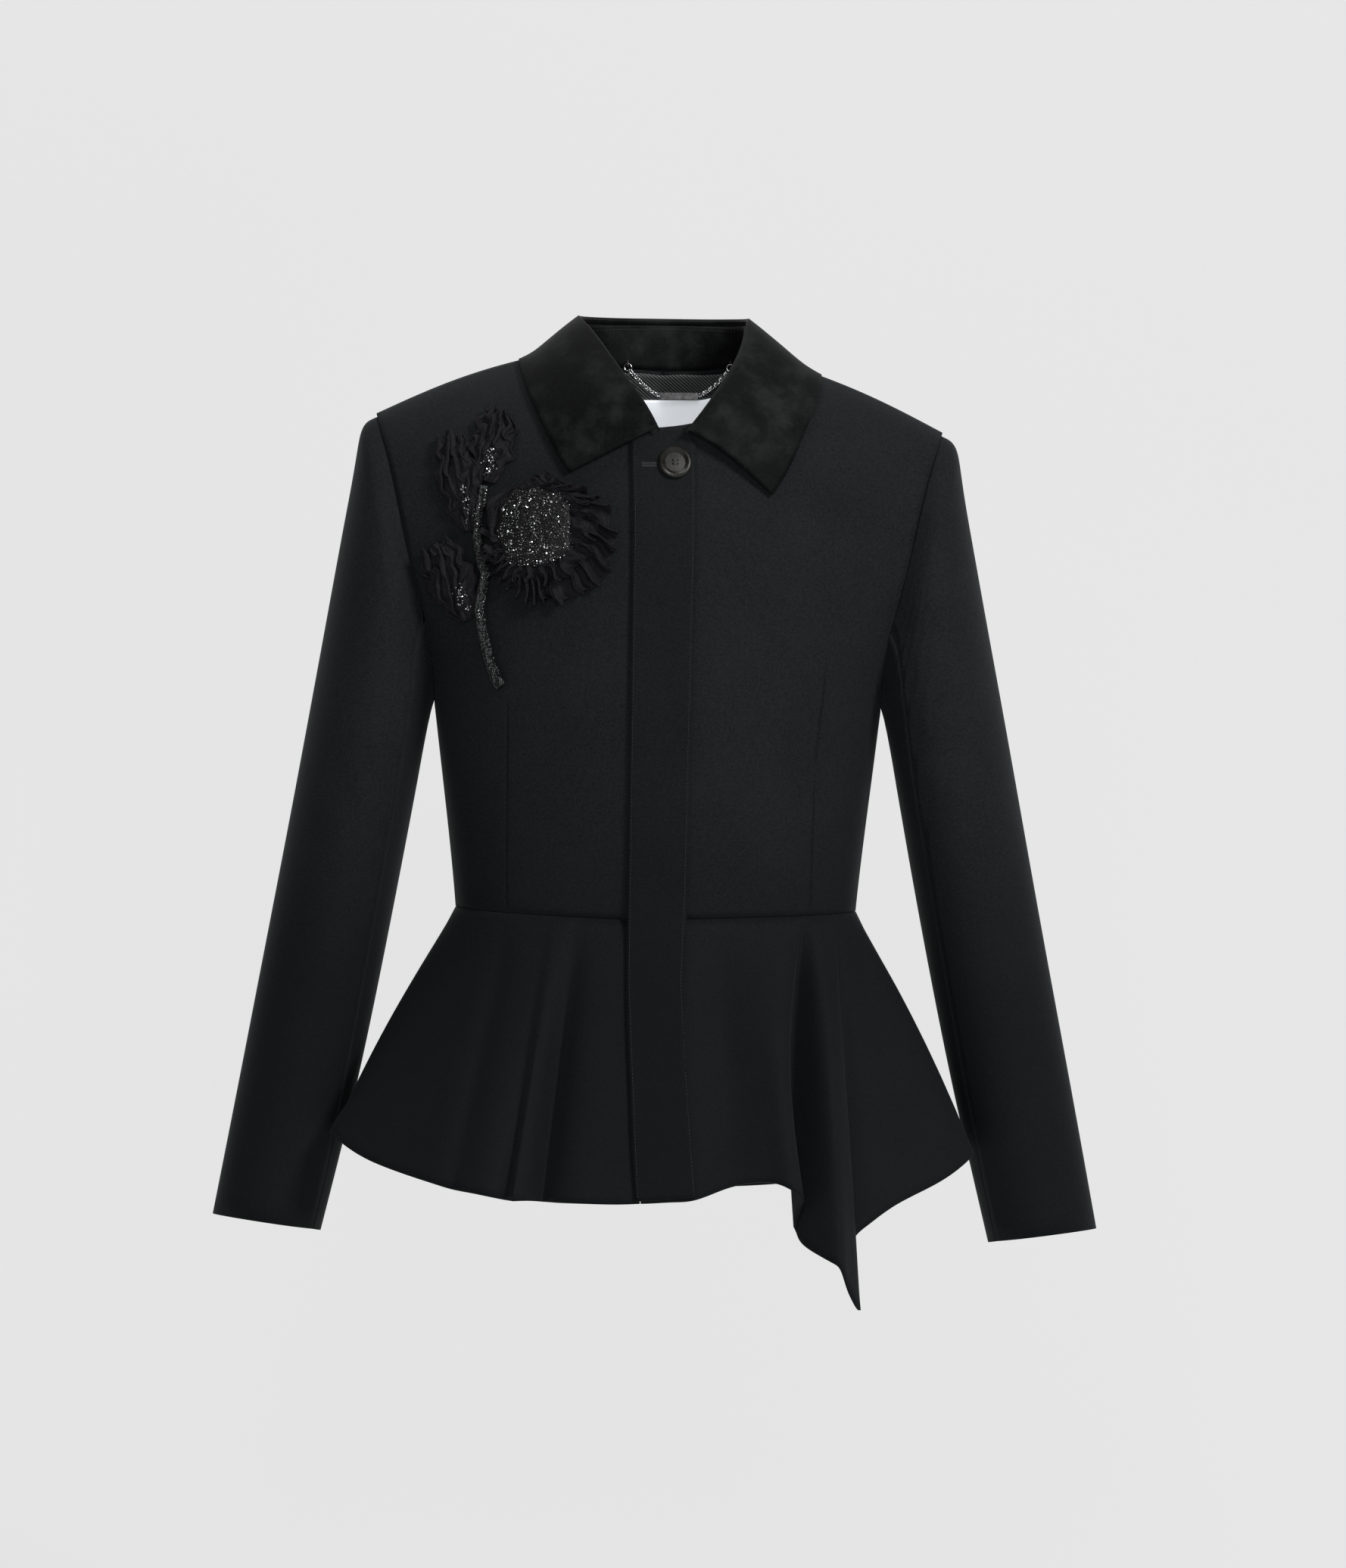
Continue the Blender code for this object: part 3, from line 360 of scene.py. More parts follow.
def photo_point(x: float, y: float) -> Spot:
    """Frame x and z of a photograph pixel."""
    return (x - PHOTO_ORIGIN[0]) / PHOTO_SCALE, (PHOTO_ORIGIN[1] - y) / PHOTO_SCALE


def linked(name: str, data: Any) -> Any:
    """Put an object with this data in the scene."""
    made = bpy.data.objects.new(name, data)
    bpy.context.scene.collection.objects.link(made)
    return made


@contextmanager
def edited(mesh: Any) -> Iterator[bmesh.types.BMesh]:
    """Open a mesh for editing and write it back."""
    work = bmesh.new()
    work.from_mesh(mesh)
    yield work
    work.to_mesh(mesh)
    work.free()


def mesh_object(name: str, vertices: Sequence[Sequence[float]], faces: Sequence[Sequence[int]]) -> Any:
    """Link a smooth mesh object at the origin.

    Args:
        name: Object and mesh name.
        vertices: Points in metres.
        faces: Point numbers of each face.

    Returns:
        The object.
    """
    mesh = bpy.data.meshes.new(name)
    mesh.from_pydata([tuple(v) for v in vertices], [], [tuple(f) for f in faces])
    mesh.update()
    mesh.polygons.foreach_set("use_smooth", [True] * len(mesh.polygons))
    return linked(name, mesh)


def grid_faces(rows: int, columns: int, closed: bool = True) -> list[tuple[int, ...]]:
    """Quads between successive rows of points.

    Args:
        rows: Number of rows.
        columns: Points in each row.
        closed: Whether a row runs round to its first point.

    Returns:
        Point numbers of each face.
    """
    faces: list[tuple[int, ...]] = []
    for row in range(rows - 1):
        near, far = row * columns, (row + 1) * columns
        for k in range(columns if closed else columns - 1):
            after = (k + 1) % columns
            faces.append((near + k, near + after, far + after, far + k))
    return faces


def join_quads(work: bmesh.types.BMesh, flat: float, square: float) -> None:
    """Weld the points, join triangles into quads and make them smooth.

    Args:
        work: Mesh being edited.
        flat: Greatest bend between two joined triangles in degrees.
        square: Greatest departure of a quad's corners from a square in degrees.
    """
    bmesh.ops.remove_doubles(work, verts=work.verts, dist=WELD)
    bmesh.ops.join_triangles(work, faces=work.faces, angle_face_threshold=math.radians(flat),
                             angle_shape_threshold=math.radians(square))
    for face in work.faces:
        face.smooth = True


def node_copy(node: str, name: str) -> Any:
    """Bare copy of a CAD node."""
    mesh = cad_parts[node].data.copy()
    mesh.materials.clear()
    return linked(name, mesh)


def subdivided(made: Any, levels: int) -> None:
    """Subdivide an object smoothly and keep the result as plain mesh."""
    rounding = made.modifiers.new("rounding", "SUBSURF")
    rounding.levels = levels
    rounding.render_levels = levels
    flatten(made)


def dressed(made: Any, finish: Any, body: str = JACKET) -> Any:
    """Give a piece its material and the body that carries it."""
    made.data.materials.clear()
    made.data.materials.append(finish)
    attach(made, body)
    return made


@dataclass
class Cloth:
    """A cloth panel made from its CAD node: quads, kept edges, two rounds of subdivision."""

    node: str
    slot: str
    held: str = "hung"
    levels: int = 2
    joined_bend: float = 38.0
    joined_skew: float = 50.0
    kept_angle: float = 50.0
    rim_crease: float = 1.0
    seam_reach: float = 0.00028   # how far each rim reaches towards its neighbour
    cut_share: float = 0.85       # share of its rectangle that a panel's cut fills
    rests_on: tuple[str, ...] = ()

    def build(self, finish: Any) -> Any:
        """Make the dressed panel.

        Args:
            finish: Material of the panel.

        Returns:
            The panel's object.
        """
        made = node_copy(self.node, f"cloth_{self.node}")
        with edited(made.data) as work:
            join_quads(work, self.joined_bend, self.joined_skew)
            crease = work.edges.layers.float.new("crease_edge")
            for edge in work.edges:
                if len(edge.link_faces) == 2 and edge.calc_face_angle(0.0) > math.radians(self.kept_angle):
                    edge[crease] = self.rim_crease
            self.close_seams(work, crease)
        subdivided(made, self.levels)
        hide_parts(self.node)
        dressed(made, finish)
        low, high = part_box(self.node)
        return made

    def close_seams(self, work: bmesh.types.BMesh, crease: Any) -> None:
        """Push the narrow rim faces outwards, so that neighbouring panels meet without a slit.

        Args:
            work: Mesh of the panel.
            crease: Its crease layer, set on the edges of the rims.
        """
        pushes: dict[Any, Vector] = {}
        for face in work.faces:
            kept = [edge for edge in face.edges if edge[crease] > 0.0]
            if len(face.verts) == 4 and len(kept) == 2 and not set(kept[0].verts) & set(kept[1].verts):
                for vertex in face.verts:
                    pushes[vertex] = pushes.get(vertex, Vector()) + face.normal
        for vertex, way in pushes.items():
            if way.length > 0.0:
                vertex.co += way.normalized() * self.seam_reach


def flatten(made: Any) -> None:
    """Turn an object's modifiers into plain mesh."""
    graph = bpy.context.evaluated_depsgraph_get()
    mesh = bpy.data.meshes.new_from_object(made.evaluated_get(graph))
    old = made.data
    made.modifiers.clear()
    made.data = mesh
    bpy.data.meshes.remove(old)


LINK_SIDES = 14
WIRE_SIDES = 8
LINK_SQUASH = 0.72              # width of a chain link as a share of its length


class Repeater(NodeTree):
    """A Geometry Nodes tree that sets copies of a small shape at the points of a mesh."""

    def __init__(self, name: str) -> None:
        """Start the tree with its named inputs."""
        self.tree = bpy.data.node_groups.new(name, "GeometryNodeTree")
        face = self.tree.interface
        face.new_socket("Geometry", in_out="INPUT", socket_type="NodeSocketGeometry")
        face.new_socket("Geometry", in_out="OUTPUT", socket_type="NodeSocketGeometry")
        self.first = self.tree.nodes.new("NodeGroupInput")
        self.last = self.tree.nodes.new("NodeGroupOutput")

    def size(self, name: str, value: float) -> str:
        """Add a named number input and return its identifier."""
        made = self.tree.interface.new_socket(name, in_out="INPUT", socket_type="NodeSocketFloat")
        made.default_value = value
        return made.identifier

    def grain(self, shape: str, long: Any, thick: Any) -> Any:
        """Bead, crystal or stitch, stretched to its length and thickness."""
        if shape == "stitch":
            ball = self.add("GeometryNodeMeshUVSphere", None, {"Radius": 0.5, "Segments": 6, "Rings": 5})
            ball = self.add("GeometryNodeTransform", None,
                            {"Geometry": ball.outputs[0], "Rotation": (0.0, math.pi / 2, 0.0)})
        else:
            ball = self.add("GeometryNodeMeshIcoSphere", None,
                            {"Radius": 0.5, "Subdivisions": 1 if shape == "crystal" else 2})
        stretch = self.add("ShaderNodeCombineXYZ", None, {0: long, 1: thick, 2: thick})
        return self.add("GeometryNodeTransform", None,
                        {"Geometry": ball.outputs[0], "Scale": stretch.outputs[0]})

    def link(self, long: Any, thick: Any) -> Any:
        """Chain link: a ring of wire, squashed to an oval."""
        circles = []
        for sides, width in ((LINK_SIDES, long), (WIRE_SIDES, thick)):
            half = self.add("ShaderNodeMath", {"operation": "MULTIPLY"}, {0: width, 1: 0.5})
            circles.append(self.add("GeometryNodeCurvePrimitiveCircle", None,
                                    {"Resolution": sides, "Radius": half.outputs[0]}).outputs[0])
        ring = self.add("GeometryNodeCurveToMesh", None, {0: circles[0], 1: circles[1]})
        return self.add("GeometryNodeTransform", None,
                        {"Geometry": ring.outputs[0], "Scale": (1.0, LINK_SQUASH, 1.0)})

    def run(self, name: str, source: Any, geometry: Any, finish: Any, values: dict[str, float]) -> Any:
        """Realise the copies as one plain mesh.

        Args:
            name: Name of the finished object.
            source: Object the tree works on; it is removed.
            geometry: Output socket with the instances.
            finish: Material set on the result.
            values: Input values by socket identifier.

        Returns:
            The finished object.
        """
        real = self.add("GeometryNodeRealizeInstances", None, {"Geometry": geometry})
        stuff = self.add("GeometryNodeSetMaterial", None, {"Geometry": real.outputs[0], "Material": finish})
        self.tree.links.new(stuff.outputs[0], self.last.inputs[0])
        modifier = source.modifiers.new("copies", "NODES")
        modifier.node_group = self.tree
        for key, value in values.items():
            modifier[key] = value
        graph = bpy.context.evaluated_depsgraph_get()
        mesh = bpy.data.meshes.new_from_object(source.evaluated_get(graph))
        source.modifiers.clear()
        mesh.name = name
        made = linked(name, mesh)
        bpy.data.objects.remove(source)
        return made


@dataclass(frozen=True)
class Site:
    """Where one small copy sits: its place, its long direction, the way up and its size."""

    at: Vector
    along: Vector
    up: Vector
    scale: float = 1.0


def point_cloud(name: str, sites: Sequence[Site]) -> Any:
    """Loose points that carry each copy's turn and size as attributes."""
    made = mesh_object(name, [site.at for site in sites], [])
    turns: list[float] = []
    for site in sites:
        along = site.along.normalized()
        side = site.up.cross(along).normalized()
        up = along.cross(side)
        turn = Matrix((along, side, up)).transposed().to_euler("XYZ")
        turns += list(turn)
    turn_data = made.data.attributes.new("turn", "FLOAT_VECTOR", "POINT")
    turn_data.data.foreach_set("vector", turns)
    size_data = made.data.attributes.new("copy_size", "FLOAT", "POINT")
    size_data.data.foreach_set("value", [site.scale for site in sites])
    return made


def scatter(name: str, sites: Sequence[Site], finish: Any, slot: str, shape: str, length: float, thick: float,
            body: str = JACKET) -> Any:
    """Set small copies at the sites by Geometry Nodes.

    Args:
        name: Name of the finished object.
        sites: Places, turns and sizes.
        finish: Material of the copies.
        slot: Not used.
        shape: "bead" for round beads, "crystal" for cut ones, "stitch" for stitches, "link" for chain rings.
        length: Length of a copy along its direction in metres.
        thick: Thickness of a copy in metres.
        body: Body that carries the copies.

    Returns:
        The finished object.
    """
    source = point_cloud(f"{name}_sites", sites)
    maker = Repeater(name)
    long_key = maker.size("Length", length)
    thick_key = maker.size("Thickness", thick)
    widths = (maker.first.outputs["Length"], maker.first.outputs["Thickness"])
    copy = maker.link(*widths) if shape == "link" else maker.grain(shape, *widths)
    smooth = maker.add("GeometryNodeSetShadeSmooth", None,
                       {"Geometry": copy.outputs[0], "Shade Smooth": shape != "crystal"})
    turn = maker.add("GeometryNodeInputNamedAttribute", {"data_type": "FLOAT_VECTOR"}, {"Name": "turn"})
    size = maker.add("GeometryNodeInputNamedAttribute", {"data_type": "FLOAT"}, {"Name": "copy_size"})
    euler = maker.add("FunctionNodeEulerToRotation", None, {0: turn.outputs[0]})
    copies = maker.add("GeometryNodeInstanceOnPoints", None,
                       {"Points": maker.first.outputs["Geometry"], "Instance": smooth.outputs[0],
                        "Rotation": euler.outputs[0], "Scale": size.outputs[0]})
    made = maker.run(name, source, copies.outputs[0], finish, {long_key: length, thick_key: thick})
    for attribute in ("turn", "copy_size"):
        if attribute in made.data.attributes:
            made.data.attributes.remove(made.data.attributes[attribute])
    dressed(made, finish, body)
    log.info("%s: %d copies, %d faces", name, len(sites), len(made.data.polygons))
    return made


FAR_FRONT = -0.6                # a y well in front of the jacket


class Surface:
    """Search surface over finished pieces, used to set small things on the cloth."""

    most_layers: int = 12           # layers of cloth that a look may pass
    least_facing: float = 0.05      # how much a side has to face the front
    layer_step: float = 0.0002

    def __init__(self, *pieces: Any) -> None:
        """Gather the pieces' faces."""
        points: list[Any] = []
        faces: list[tuple[int, ...]] = []
        for piece in pieces:
            start = len(points)
            points += [v.co.copy() for v in piece.data.vertices]
            faces += [tuple(start + k for k in face.vertices) for face in piece.data.polygons]
        self.tree = BVHTree.FromPolygons(points, faces)

    def front(self, x: float, z: float, start: float = FAR_FRONT) -> tuple[Vector, Vector]:
        """Find the side facing the front, straight behind a place in the front view.

        Args:
            x: Frame x in metres.
            z: Frame z in metres.
            start: Where the look begins along y.

        Returns:
            The point and its outward direction.
        """
        origin = Vector((x, start, z))
        for _ in range(self.most_layers):
            place, normal = self.tree.ray_cast(origin, Vector((0.0, 1.0, 0.0)))[:2]
            if place is None:
                break
            if normal.y < -self.least_facing:
                return place, normal
            origin = place + Vector((0.0, self.layer_step, 0.0))
        place, normal = self.tree.find_nearest(Vector((x, start / 6, z)))[:2]
        return place, normal

    def lay(self, x: float, z: float, lift: float) -> Vector:
        """Point above the cloth by lift."""
        place, normal = self.front(x, z)
        return place + normal * lift


def along_line(points: Sequence[Spot], pitch: float) -> list[Spot]:
    """Places at an even pitch along a line of (x, z) points."""
    line = np.array(points, float)
    steps = np.linalg.norm(np.diff(line, axis=0), axis=1)
    lengths = np.concatenate([[0.0], np.cumsum(steps)])
    count = max(2, int(lengths[-1] / pitch) + 1)
    at = np.linspace(0.0, lengths[-1], count)
    return [(float(np.interp(s, lengths, line[:, 0])), float(np.interp(s, lengths, line[:, 1]))) for s in at]


@dataclass(frozen=True)
class Stitching:
    """A kind of sewn row: pitch, length and thickness of a stitch, and its height above the cloth."""

    pitch: float
    length: float
    thick: float
    lift: float
    slot: str = "thread"
    start: float = FAR_FRONT

    def sites(self, surface: Surface, points: Sequence[Spot]) -> list[Site]:
        """One site a stitch along a line seen from the front.

        Args:
            surface: What the thread is sewn on.
            points: Line of (x, z) points.

        Returns:
            The sites.
        """
        found = [surface.front(x, z, self.start) for x, z in along_line(points, self.pitch)]
        return [Site((first + second) / 2 + up * self.lift, second - first, up)
                for (first, up), (second, _) in zip(found, found[1:])]

    def sew(self, name: str, surface: Surface, lines: Sequence[Sequence[Spot]], thread: Any) -> None:
        """Sew a row along each line.

        Args:
            name: Name of the piece.
            surface: What the thread is sewn on.
            lines: Lines of (x, z) points.
            thread: Thread material.
        """
        sites = [site for line in lines for site in self.sites(surface, line)]
        scatter(name, sites, thread, self.slot, "stitch", self.length, self.thick)


BAND_RIGHT = ((0.0194, -0.0560), (0.0246, -0.0660), (0.0258, -0.1250), (0.0240, -0.2700), (0.0226, -0.3920),
              (0.0206, -0.4565), (0.0262, -0.5400), (0.0322, -0.6110))
BAND_LEFT = ((-0.0211, -0.0640), (-0.0194, -0.1250), (-0.0198, -0.2700), (-0.0202, -0.3920),
             (-0.0202, -0.4565), (-0.0160, -0.5400), (-0.0118, -0.6156))
DARTS_RIGHT = (((-0.1100, -0.2440), (-0.1090, -0.4040)),)
DARTS_LEFT = (((0.1240, -0.2130), (0.1150, -0.2970)), ((0.1150, -0.2970), (0.1130, -0.4040)))


@dataclass
class WoolJacket:
    """Body, sleeves, peplum and fly-front band of black wool."""

    stitching: Stitching = Stitching(0.0026, 0.0021, 0.00032, 0.00008)
    stitch_inset: float = 0.0016
    # the band is the same wool in darker colours: painted shade down the fly front
    band_painted_shade_colour: Point = (0.0020, 0.0026, 0.0030)
    band_painted_shade_worn: Point = (0.0086, 0.0098, 0.0104)
    panels: dict[str, Any] = field(default_factory=dict)

    def build(self) -> None:
        """Make every wool panel from its node."""
        plain = WoolFinish("black_wool").material()
        finishes = {
            "front_right": WoolFinish("black_wool_right_front", DARTS_RIGHT).material(),
            "front_left": WoolFinish("black_wool_left_front", DARTS_LEFT).material(),
            "front_band": WoolFinish("black_wool_band_painted_shade", (), self.band_painted_shade_colour, self.band_painted_shade_worn).material(),
        }
        for node in ("front_right", "front_left", "back_right", "back_left", "sleeve_top_right",
                     "sleeve_top_left", "sleeve_under_right", "sleeve_under_left", "peplum_right",
                     "peplum_left", "peplum_back", "front_band"):
            self.panels[node] = Cloth(node, "wool").build(finishes.get(node, plain))

    def dress(self, thread: Any) -> None:
        """Sew the topstitching of the band."""
        right = [(x - self.stitch_inset, z) for x, z in BAND_RIGHT]
        left = [(x + self.stitch_inset, z) for x, z in BAND_LEFT]
        self.stitching.sew("band_topstitching", Surface(self.panels["front_band"]), (right, left), thread)


@dataclass
class VelvetCollar:
    """Stand and pointed fall of black velvet with two rows of stitching inside the stand."""

    stitching: Stitching = Stitching(0.0024, 0.0020, 0.0003, 0.0001, start=0.02)
    row_drops: tuple[float, ...] = (0.0062, 0.0086)
    row_sag: float = 0.002        # how much lower a row ends at its sides
    half_width: float = 0.054
    pieces: dict[str, Any] = field(default_factory=dict)

    def build(self) -> None:
        """Make the fall and the stand."""
        velvet = VelvetFinish().material()
        for node in ("collar_fall", "collar_stand"):
            self.pieces[node] = Cloth(node, "velvet", "folded").build(velvet)

    def dress(self, thread: Any) -> None:
        """Sew the two rows inside the stand."""
        top = max(v.co.z for v in self.pieces["collar_fall"].data.vertices)
        lines = [[(self.half_width * k / 12, top - drop - self.row_sag * (k / 12) ** 2)
                  for k in range(-12, 13)] for drop in self.row_drops]
        self.stitching.sew("collar_stitching", Surface(*self.pieces.values()), lines, thread)


@dataclass
class NeckLining:
    """Lining strip inside the back neck and the plain white label on it."""

    stitching: Stitching = Stitching(0.0022, 0.0016, 0.0003, 0.00006, "label", -0.02)
    inset: float = 0.0012

    def build(self, thread: Any) -> None:
        """Make the lining and the label."""
        Cloth("neck_lining", "lining").build(LiningFinish().material())
        satin = FINISHES["label"].material()
        label = Cloth("label", "label", "laid", rests_on=("neck_lining",)).build(satin)
        low = Vector([min(v.co[k] for v in label.data.vertices) for k in range(3)])
        high = Vector([max(v.co[k] for v in label.data.vertices) for k in range(3)])
        foot, head = low.z + self.inset, high.z - self.inset
        lines = [[(x, foot), (x, head)] for x in (low.x + self.inset, high.x - self.inset)]
        self.stitching.sew("label_stitches", Surface(label), lines, thread)


@dataclass
class ChainHanger:
    """Curb chain in two lengths, rings, a bare plate and the thread loops that hold them."""

    link_length: float = 0.0040
    link_wire: float = 0.0010
    link_pitch: float = 0.0025
    link_turn: float = 42.0       # degrees that each link lies over, to either side in turn
    end_reach: float = 0.0012     # how far the links run past the tube's ends
    sections: int = 9             # cross sections of the CAD tube
    ring_joined: float = 60.0

    def path(self, node: str) -> list[Vector]:
        """Middle line of a CAD tube, from its cross sections."""
        points = sorted((v.co.copy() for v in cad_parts[node].data.vertices), key=lambda p: p.x)
        groups = np.array_split(np.array([tuple(p) for p in points]), self.sections)
        return [Vector(group.mean(axis=0)) for group in groups]

    def build(self) -> None:
        """Make the links, the rings and the plate."""
        silver = FINISHES["silver"].material()
        for side in ("left", "right"):
            node = f"hanger_chain_{side}"
            line = self.path(node)
            start = line[0] + (line[0] - line[1]).normalized() * self.end_reach
            end = line[-1] + (line[-1] - line[-2]).normalized() * self.end_reach
            sites = self.sites([start, *line, end])
            links = scatter(f"chain_links_{side}", sites, silver, "silver", "link", self.link_length,
                            self.link_wire, HANGER)
            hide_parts(node)
            self.ring(f"hanger_ring_{side}", silver, "silver", HANGER)
            self.ring(f"ring_loop_{side}", FINISHES["thread"].material(), "thread", JACKET)
        self.plate()

    def sites(self, line: Sequence[Vector]) -> list[Site]:
        """Link sites along the path, alternately turned."""
        lengths = [0.0]
        for a, b in zip(line, line[1:]):
            lengths.append(lengths[-1] + (b - a).length)
        count = max(2, int(lengths[-1] / self.link_pitch))
        sites = []
        for k in range(count):
            s = lengths[-1] * (k + 0.5) / count
            part = max(i for i, v in enumerate(lengths[:-1]) if v <= s)
            share = (s - lengths[part]) / max(lengths[part + 1] - lengths[part], TINY)
            at = line[part].lerp(line[part + 1], share)
            along = (line[part + 1] - line[part]).normalized()
            turn = math.radians(self.link_turn if k % 2 else -self.link_turn)
            up = Matrix.Rotation(turn, 3, along) @ Vector((0.0, -1.0, 0.0))
            sites.append(Site(at, along, up))
        return sites

    def ring(self, node: str, finish: Any, slot: str, body: str) -> None:
        """Round smooth ring in place of the node's ring."""
        made = node_copy(node, f"smooth_{node}")
        with edited(made.data) as work:
            join_quads(work, self.ring_joined, self.ring_joined)
        subdivided(made, 2)
        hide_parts(node)
        dressed(made, finish, body)

    def plate(self) -> None:
        """Give the plate its metal; it stays bare."""
        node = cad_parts["hanger_plate"]
        node.data.materials.clear()
        node.data.materials.append(FINISHES["plate"].material())


@dataclass
class HornButton:
    """Four-hole button with a raised rim, its sewing thread and the worked buttonhole."""

    middle: Spot = (0.0100, -0.0778)
    hole_away: float = 0.001368     # from the middle to a pair of holes
    thread_length: float = 0.0036
    thread_thick: float = 0.0007
    thread_lift: float = 0.0030
    thread_spread: tuple[float, ...] = (-0.0004, 0.0, 0.0004)
    hole_start: float = -0.0137
    hole_end: float = -0.0035
    hole_z: float = -0.0790
    hole_row: float = 0.0009        # from the buttonhole's middle to a row of its stitches
    stitch_pitch: float = 0.0006
    stitch_length: float = 0.0019
    stitch_thick: float = 0.0006
    stitch_lift: float = 0.0002
    stitch_slant: float = 0.08

    def build(self, thread: Any, band: Any) -> None:
        """Dress the button and sew the thread and the buttonhole.

        Args:
            thread: Thread material.
            band: The finished band, which carries the buttonhole.
        """
        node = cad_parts["button"]
        node.data.materials.clear()
        node.data.materials.append(FINISHES["horn"].material())
        cloth = Surface(band)
        place, up = cloth.front(*self.middle)
        side = Vector((0.0, 0.0, 1.0)).cross(up).normalized()
        rise = up.cross(side)
        sites: list[Site] = []
        for sign in (1.0, -1.0):
            for shift in self.thread_spread:
                centre = place + up * self.thread_lift + rise * (sign * self.hole_away) + rise * shift
                sites.append(Site(centre, side, up))
        scatter("button_thread", sites, thread, "thread", "stitch", self.thread_length,
                self.thread_thick)
        hole: list[Site] = []
        count = int((self.hole_end - self.hole_start) / self.stitch_pitch)
        for k in range(count + 1):
            x = self.hole_start + self.stitch_pitch * k
            for sign in (1.0, -1.0):
                at, facing = cloth.front(x, self.hole_z + sign * self.hole_row)
                along = Vector((self.stitch_slant, 0.0, sign))
                hole.append(Site(at + facing * self.stitch_lift, along, facing))
        scatter("buttonhole_stitches", hole, thread, "thread", "stitch", self.stitch_length,
                self.stitch_thick)


Waves = Sequence[tuple[float, Any, Any]]


def wave_sum(waves: Waves) -> Any:
    """Sum of sines, each given as its size, its angle and a shift of that angle."""
    return sum(size * np.sin(angle + shift) for size, angle, shift in waves)


def smooth_noise(rng: np.random.Generator, count: int, waves: int) -> Callable[[np.ndarray], np.ndarray]:
    """A smooth closed random curve over angles, made of a few sines.

    Args:
        rng: Seeded random numbers.
        count: Lowest number of waves round.
        waves: How many sines are added.

    Returns:
        A function of angle in radians.
    """
    numbers = count + np.arange(waves)
    phases = rng.uniform(0.0, math.tau, waves)
    sizes = rng.uniform(0.5, 1.0, waves) / waves

    def curve(angle: np.ndarray) -> np.ndarray:
        """Value at each angle."""
        return sum(size * np.sin(number * angle + phase)
                   for number, phase, size in zip(numbers, phases, sizes))

    return curve


@dataclass(frozen=True)
class Ruffle:
    """One gathered strip of the bloom, between an inner and an outer oval."""

    name: str
    node: str
    middle: Spot
    half: Spot
    folds: int
    rise: float
    lift: float
    seed: int
    swirl: float = 1.2
    crown: float = 0.0020         # how much the strip's middle stands up
    lip: float = 0.0022           # how much some folds lift at the free edge


@dataclass(frozen=True)
class Bud:
    """A ruched bud: tip, base and half width in the front view, and its heights above the cloth."""

    node: str
    tip: Spot
    base: Spot
    half: float
    seed: int
    lift: float = 0.0012
    rise: float = 0.0045
    fold: float = 0.0016


